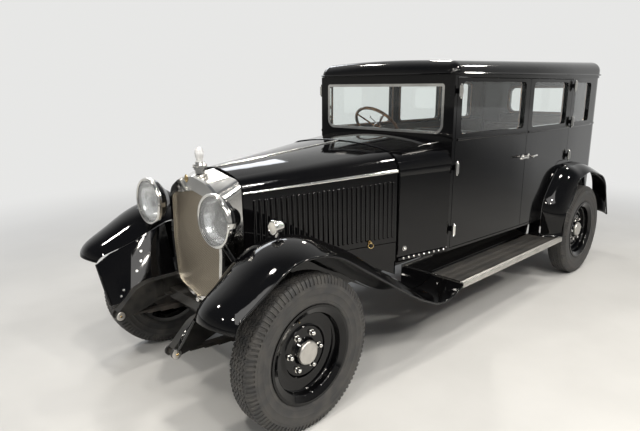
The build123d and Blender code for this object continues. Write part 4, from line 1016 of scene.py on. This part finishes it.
def make_headlining():
    """The ceiling cloth, stretched over hoops and sewn across."""
    front, rear = LINING_ENDS
    rows = []
    for k in range(LINING_ROWS + 1):
        x = front + (rear - front) * k / LINING_ROWS
        half = 0.592 + 0.03 * min(1.0, (front - x) / 0.6) - 0.15 * max(0.0, (-3.95 - x) / 0.265) ** 2
        seam = ((front - x) / HOOP_PITCH) % 1.0
        sag = 0.006 * exp(-((min(seam, 1 - seam) * HOOP_PITCH) / 0.012) ** 2)
        row = []
        for j in range(41):
            across = -1 + j / 20
            row.append(place(x, half * across, 1.959 - 0.046 * abs(across) ** 7 - sag * (1 - across ** 8)))
        rows.append(row)
    lining = mesh_piece("headlining", [grid(rows)], "headlining", crease=60)


# Seats: front edge of the cushion, foot of the back and height of the floor
SEATS = {"front": (-2.13, -2.7, FLOOR), "rear": (-3.48, -4.08, REAR_FLOOR)}
SEAT_HALF = 0.538
CHANNELS = [-0.48 + 0.12 * k for k in range(9)]
VOXEL = 0.018
SWELL = 0.02


def bake(piece):
    """Replace a piece's mesh with what its modifiers make of it."""
    graph = bpy.context.evaluated_depsgraph_get()
    made = bpy.data.meshes.new_from_object(piece.evaluated_get(graph))
    made.name = piece.name
    piece.modifiers.clear()
    piece.data = made


def profiled(points, half):
    """A bar across the cabin with this side profile of (x, z)."""
    return grid([[place(x, y, z) for x, z in points] for y in (half, -half)], solid=True)


def soft_block(name, profile):
    """A block with this side profile, made of even small faces."""
    block = mesh_piece(name, [profiled(profile, SEAT_HALF)], "upholstery")
    even = block.modifiers.new("even", "REMESH")
    even.mode = "VOXEL"
    even.voxel_size = VOXEL
    bake(block)
    return block


def inflate(blocks):
    """Swell the blocks as cloth under pressure, each point up to a limit."""
    for block in blocks:
        cloth = block.modifiers.new("swell", "CLOTH")
        cloth.settings.use_pressure = True
        cloth.settings.uniform_pressure_force = 4.0
        cloth.settings.effector_weights.gravity = 0.0
    for number in range(1, 21):
        SCENE.frame_set(number)
    graph = bpy.context.evaluated_depsgraph_get()
    for block in blocks:
        swollen = [vertex.co.copy() for vertex in block.evaluated_get(graph).data.vertices]
        block.modifiers.clear()
        for vertex, target in zip(block.data.vertices, swollen):
            move = target - vertex.co
            vertex.co += move * min(1.0, SWELL / max(move.length, 1e-9))
    SCENE.frame_set(1)


def sew_channels(block, towards):
    """Draw a padded face in along lines from one edge to the other, then smooth it."""
    mesh = block.data
    normals = [vertex.normal.copy() for vertex in mesh.vertices]
    for vertex, normal in zip(mesh.vertices, normals):
        share = max(0.0, min(1.0, (normal.dot(towards) - 0.1) / 0.5))
        dent = max(exp(-((vertex.co.y - line) / 0.012) ** 2) for line in CHANNELS)
        vertex.co -= normal * 0.014 * share * dent
    smooth = block.modifiers.new("smooth", "SUBSURF")
    smooth.levels = 1
    bake(block)
    block.data.polygons.foreach_set("use_smooth", [True] * len(block.data.polygons))


def make_seats():
    """Two benches, each a sprung cushion and a sprung back on a firm box."""
    blocks = []
    for name, (front, foot, floor) in SEATS.items():
        cushion = soft_block(name + "_cushion", (
            (front - 0.022, floor + 0.15), (front - 0.022, 0.905), (front - 0.05, 0.925), (foot + 0.12, 0.915),
            (foot + 0.12, floor + 0.15)))
        back = soft_block(name + "_backrest", (
            (foot + 0.1, 0.955), (foot + 0.036, 1.4), (foot + 0.02, 1.418), (foot - 0.01, 1.415),
            (foot + 0.04, 0.955)))
        blocks.append((cushion, Vector((0.35, 0, 1)).normalized()))
        blocks.append((back, Vector((1, 0, 0.25)).normalized()))
        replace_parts(cushion, name + "_seat")
        plinth = box_shape(place(foot + 0.01, -0.545, floor), place(front - 0.022, 0.545, floor + 0.148), 0.006)
        shell = []
        for y, inset in ((0.553, 0.006), (0.547, 0.0), (-0.547, 0.0), (-0.553, 0.006)):
            profile = ((foot + 0.012 - inset, floor), (foot - 0.012 - inset, 1.412 - inset),
                       (foot - 0.05 + inset, 1.418 - inset), (foot - 0.012 + inset, floor))
            shell.append([place(x, y, z) for x, z in profile])
        mesh_piece(name + "_seat_shell", [plinth, grid(shell, solid=True)], "upholstery")
    inflate([block for block, towards in blocks])
    for block, towards in blocks:
        sew_channels(block, towards)


# Each gauge's place across and radius, and the places of the knobs below
DIALS = mm((0, 46), (105, 33), (-105, 33))
DIAL_Z = 1.3
DIAL_MARKS = 13
DIAL_RIM = mm((-4, 2), (-3, 6), (0, 9), (4, 7), (6, 0))
KNOBS = (-0.06, -0.02, 0.02, 0.06, 0.26, 0.3)
KNOB = mm((0, 26), (8, 25), (10.5, 20), (8, 13), (4.5, 11), (4.5, 4), (10, 3), (11, 0))


def make_dashboard():
    """An oval plate with gauges, each with a rim, a bare face, marks and a needle, and a row of knobs below."""
    oval = [(x * 0.185, y * 0.068) for x, y in ring_of(48, 1.0)]
    rims = [prism(oval, facing(DASH_FACE, 0.0, DIAL_Z, BACK, LEFT), 0.003, 0.001)]
    rims += [lathe(KNOB, facing(DASH_FACE, y, 1.212, BACK), 20) for y in KNOBS]
    faces, marks = [], []
    for y, radius in DIALS:
        at = facing(DASH_FACE - 0.002, y, DIAL_Z, BACK)
        rims.append(lathe([(radius + out, up) for out, up in DIAL_RIM], at, 40))
        faces.append(lathe([(0.0, 0.0025), (radius - 0.003, 0.0025), (radius - 0.003, 0.0)], at, 40))
        for k in range(DIAL_MARKS):
            mark = shifted(at @ spun(-30 - 20 * k, "Z"), 0, radius - 0.011, 0.0023)
            marks.append(prism(rectangle(0.0007, 0.003), mark, 0.0008, 0.0001))
        tip = radius - 0.012
        needle = ((-0.0012, -0.006), (0.0012, -0.006), (0.0004, tip), (-0.0004, tip))
        marks.append(prism(needle, shifted(at @ spun(140, "Z"), 0, 0, 0.0035), 0.0008, 0.0001))
    mesh_piece("dash_rims", rims, "nickel")
    mesh_piece("dash_faces", faces, "aluminium")
    mesh_piece("dash_marks", marks, "black_enamel")


GEAR_LEVER = mm((-1780, -30, 715), (-1800, -34, 800), (-1860, -45, 930), (-1905, -55, 1010), (-1915, -58, 1055))
GEAR_DOME = mm((12, 62), (22, 55), (30, 44), (44, 26), (58, 14), (66, 10), (68, 0))
BRAKE_LEVER = mm((-1720, 45, 662), (-1755, 45, 800), (-1830, 45, 1000))
GRIP_ENDS = mm((-1810, 45, 945), (-1862, 45, 1085))
GRIP = ((0, 0.0), (0, 0.01), (0.1, 0.013), (0.9, 0.014), (1.0, 0.01), (1.0, 0.0))
BALL = mm((0, 20), (10, 17.5), (17.5, 10), (20, 0), (17.5, -10), (11, -16.5), (6, -19))
# Place across and half width of each pedal, and its arm as (x, z)
PEDALS = ((-0.44, 0.03), (-0.25, 0.03), (-0.175, 0.018))
PEDAL_ARM = mm((-1260, 690), (-1330, 740), (-1395, 800), (-1424, 834))
TOE_BOARD = mm((-1390, 662), (-1120, 900), (-1110, 892), (-1372, 662))
# Rear end, front end, half width and underside of each mat
FLOOR_MATS = mm((-2090, -1400, 500, 660.5), (-3090, -2790, 500, 660.5), (-3450, -3120, 480, 748.5))
WHEEL_BOSS = mm((0, 30), (12, 29), (16, 24), (30, 21), (34, 15), (34, 4))
HAND_LEVER = mm((10, 0, 22), (60, 0, 26), (105, 0, 26))
HAND_KNOB = mm((0, 16), (5, 14), (6, 8), (4, 0), (0, 0))


def make_levers():
    """The gear lever and the handbrake, with their grips."""
    gear = tube(smooth_line(placed(*GEAR_LEVER), 4), 0.0075, 12)
    dome = lathe(GEAR_DOME, facing(-1.78, -0.03, FLOOR, UP, AHEAD), 40)
    brake = tube(placed(*BRAKE_LEVER), 0, section=rectangle(0.004, 0.01))
    mesh_piece("control_levers", [gear, dome, brake], "nickel")
    ball = lathe(BALL, facing(-1.917, -0.058, 1.072, UP, AHEAD), 28)
    mesh_piece("control_grips", [ball, tapered(*placed(*GRIP_ENDS), GRIP, 16)], "black_enamel")


def make_pedals():
    pads, arms = [], []
    for y, half in PEDALS:
        pad = facing(-1.425, y, 0.835, (-0.8, 0, 0.6))
        pads.append(prism(rectangle(0.038, half), pad, 0.012, 0.003))
        for k in range(4):
            rib = shifted(pad, -0.026 + 0.0175 * k, 0, 0.012)
            pads.append(prism(rectangle(0.003, half * 0.8), rib, 0.003, 0.001))
        arms.append(tube(smooth_line([place(x, y, z) for x, z in PEDAL_ARM], 4), 0.0075, 10))
    mesh_piece("pedal_pads", pads, "ribbed_mat")
    mesh_piece("pedal_arms", arms, "dark_iron")


def make_floor_mats():
    boards = [profiled(TOE_BOARD, 0.52)]
    for rear, front, half, z in FLOOR_MATS:
        boards.append(box_shape(place(rear, -half, z), place(front, half, z + 0.0055), 0.002))
    mesh_piece("floor_mats", boards, "ribbed_mat")


def make_hand_levers():
    """The boss and the two small levers in the middle of the steering wheel."""
    hub = facing(-1.9, -0.35, 1.478, (-0.766, 0, 0.643))
    levers = [lathe(WHEEL_BOSS, hub, 32)]
    for degrees in (-35, 35):
        at = hub @ spun(degrees, "Z")
        levers.append(tube([at @ Vector(point) for point in HAND_LEVER], 0.0032, 8))
        levers.append(lathe(HAND_KNOB, shifted(at, 0.104, 0, 0.026), 14))
    mesh_piece("hand_levers", levers, "nickel", "steering_wheel")


# Outside of the body again: belt moulding and trim of the fender's valance

BELT_Z = 1.452
# How far the belt's middle lies outside the cabin's wall
BELT_OUT = 0.047
BELT_SECTION = mm((-6, -9.5), (3.5, -9), (7, -5), (8, 0), (7, 5), (3.5, 9), (-6, 9.5))
# Name, body and ends of each length
BELTS = (("belt_front_door", "front_door", -1.566, -2.54), ("belt_rear_door", "rear_door", -2.56, -3.378),
         ("belt_body", "chassis", -3.428, -4.02))


def make_belt():
    """The rounded moulding along the body's side, below the windows."""
    for name, body, start, end in BELTS:
        rows = [[off_wall(x, z + rise, -BELT_OUT - out) for out, rise in BELT_SECTION]
                for x, z in spread([(start, BELT_Z), (end, BELT_Z)], 0.05)]
        side_pieces(name, [grid(rows, solid=True)], "black_enamel", body)


# Foot of the fender's valance along the frame's horn, its front edge, and bolts with the way each faces
VALANCE_FOOT = mm((548, 407, 508), (505, 352.5, 535), (440, 351.5, 592), (300, 351.5, 634), (135, 351.5, 636))
VALANCE_FRONT = mm((552, 408, 508), (551.5, 500, 622), (550, 583, 732))
VALANCE_BOLTS = (
    ((0.313, 0.485, 0.859), (0.48, -0.7, 0.53)), ((0.311, 0.445, 0.8), (0.38, -0.8, 0.47)),
    ((0.329, 0.418, 0.744), (0.26, -0.84, 0.48)), ((0.369, 0.401, 0.691), (0.27, -0.8, 0.53)),
    ((0.47, 0.384, 0.596), (0.49, -0.68, 0.55)), ((0.494, 0.374, 0.565), (0.49, -0.68, 0.55)),
)


def make_valance_trim():
    """Rolled edges on the valance between fender and frame, and the bolts on its flange."""
    beads = [tube(smooth_line(placed(*VALANCE_FOOT), 6), 0.0045), tube(placed(*VALANCE_FRONT), 0.006, 12)]
    bolts = [bolt_head(facing(*point, direction), 0.0048) for point, direction in VALANCE_BOLTS]
    mesh_piece("valance_beads", both(beads), "black_enamel")
    mesh_piece("valance_bolts", both(bolts), "nickel")


dress_nodes()
make_wheels()
make_lamps()
make_radiator_trim()
make_hood_trim()
make_cowl_trim()
make_roof_trim()
make_door_trim()
make_fender_edges()
make_boards()
make_horn_caps()
make_woodwork()
make_door_cards()
make_side_lining()
make_headlining()
make_seats()
make_dashboard()
make_levers()
make_pedals()
make_floor_mats()
make_hand_levers()
make_belt()
make_valance_trim()
make_floor()
make_lights()
make_camera()
SCENE.view_settings.view_transform = "Standard"
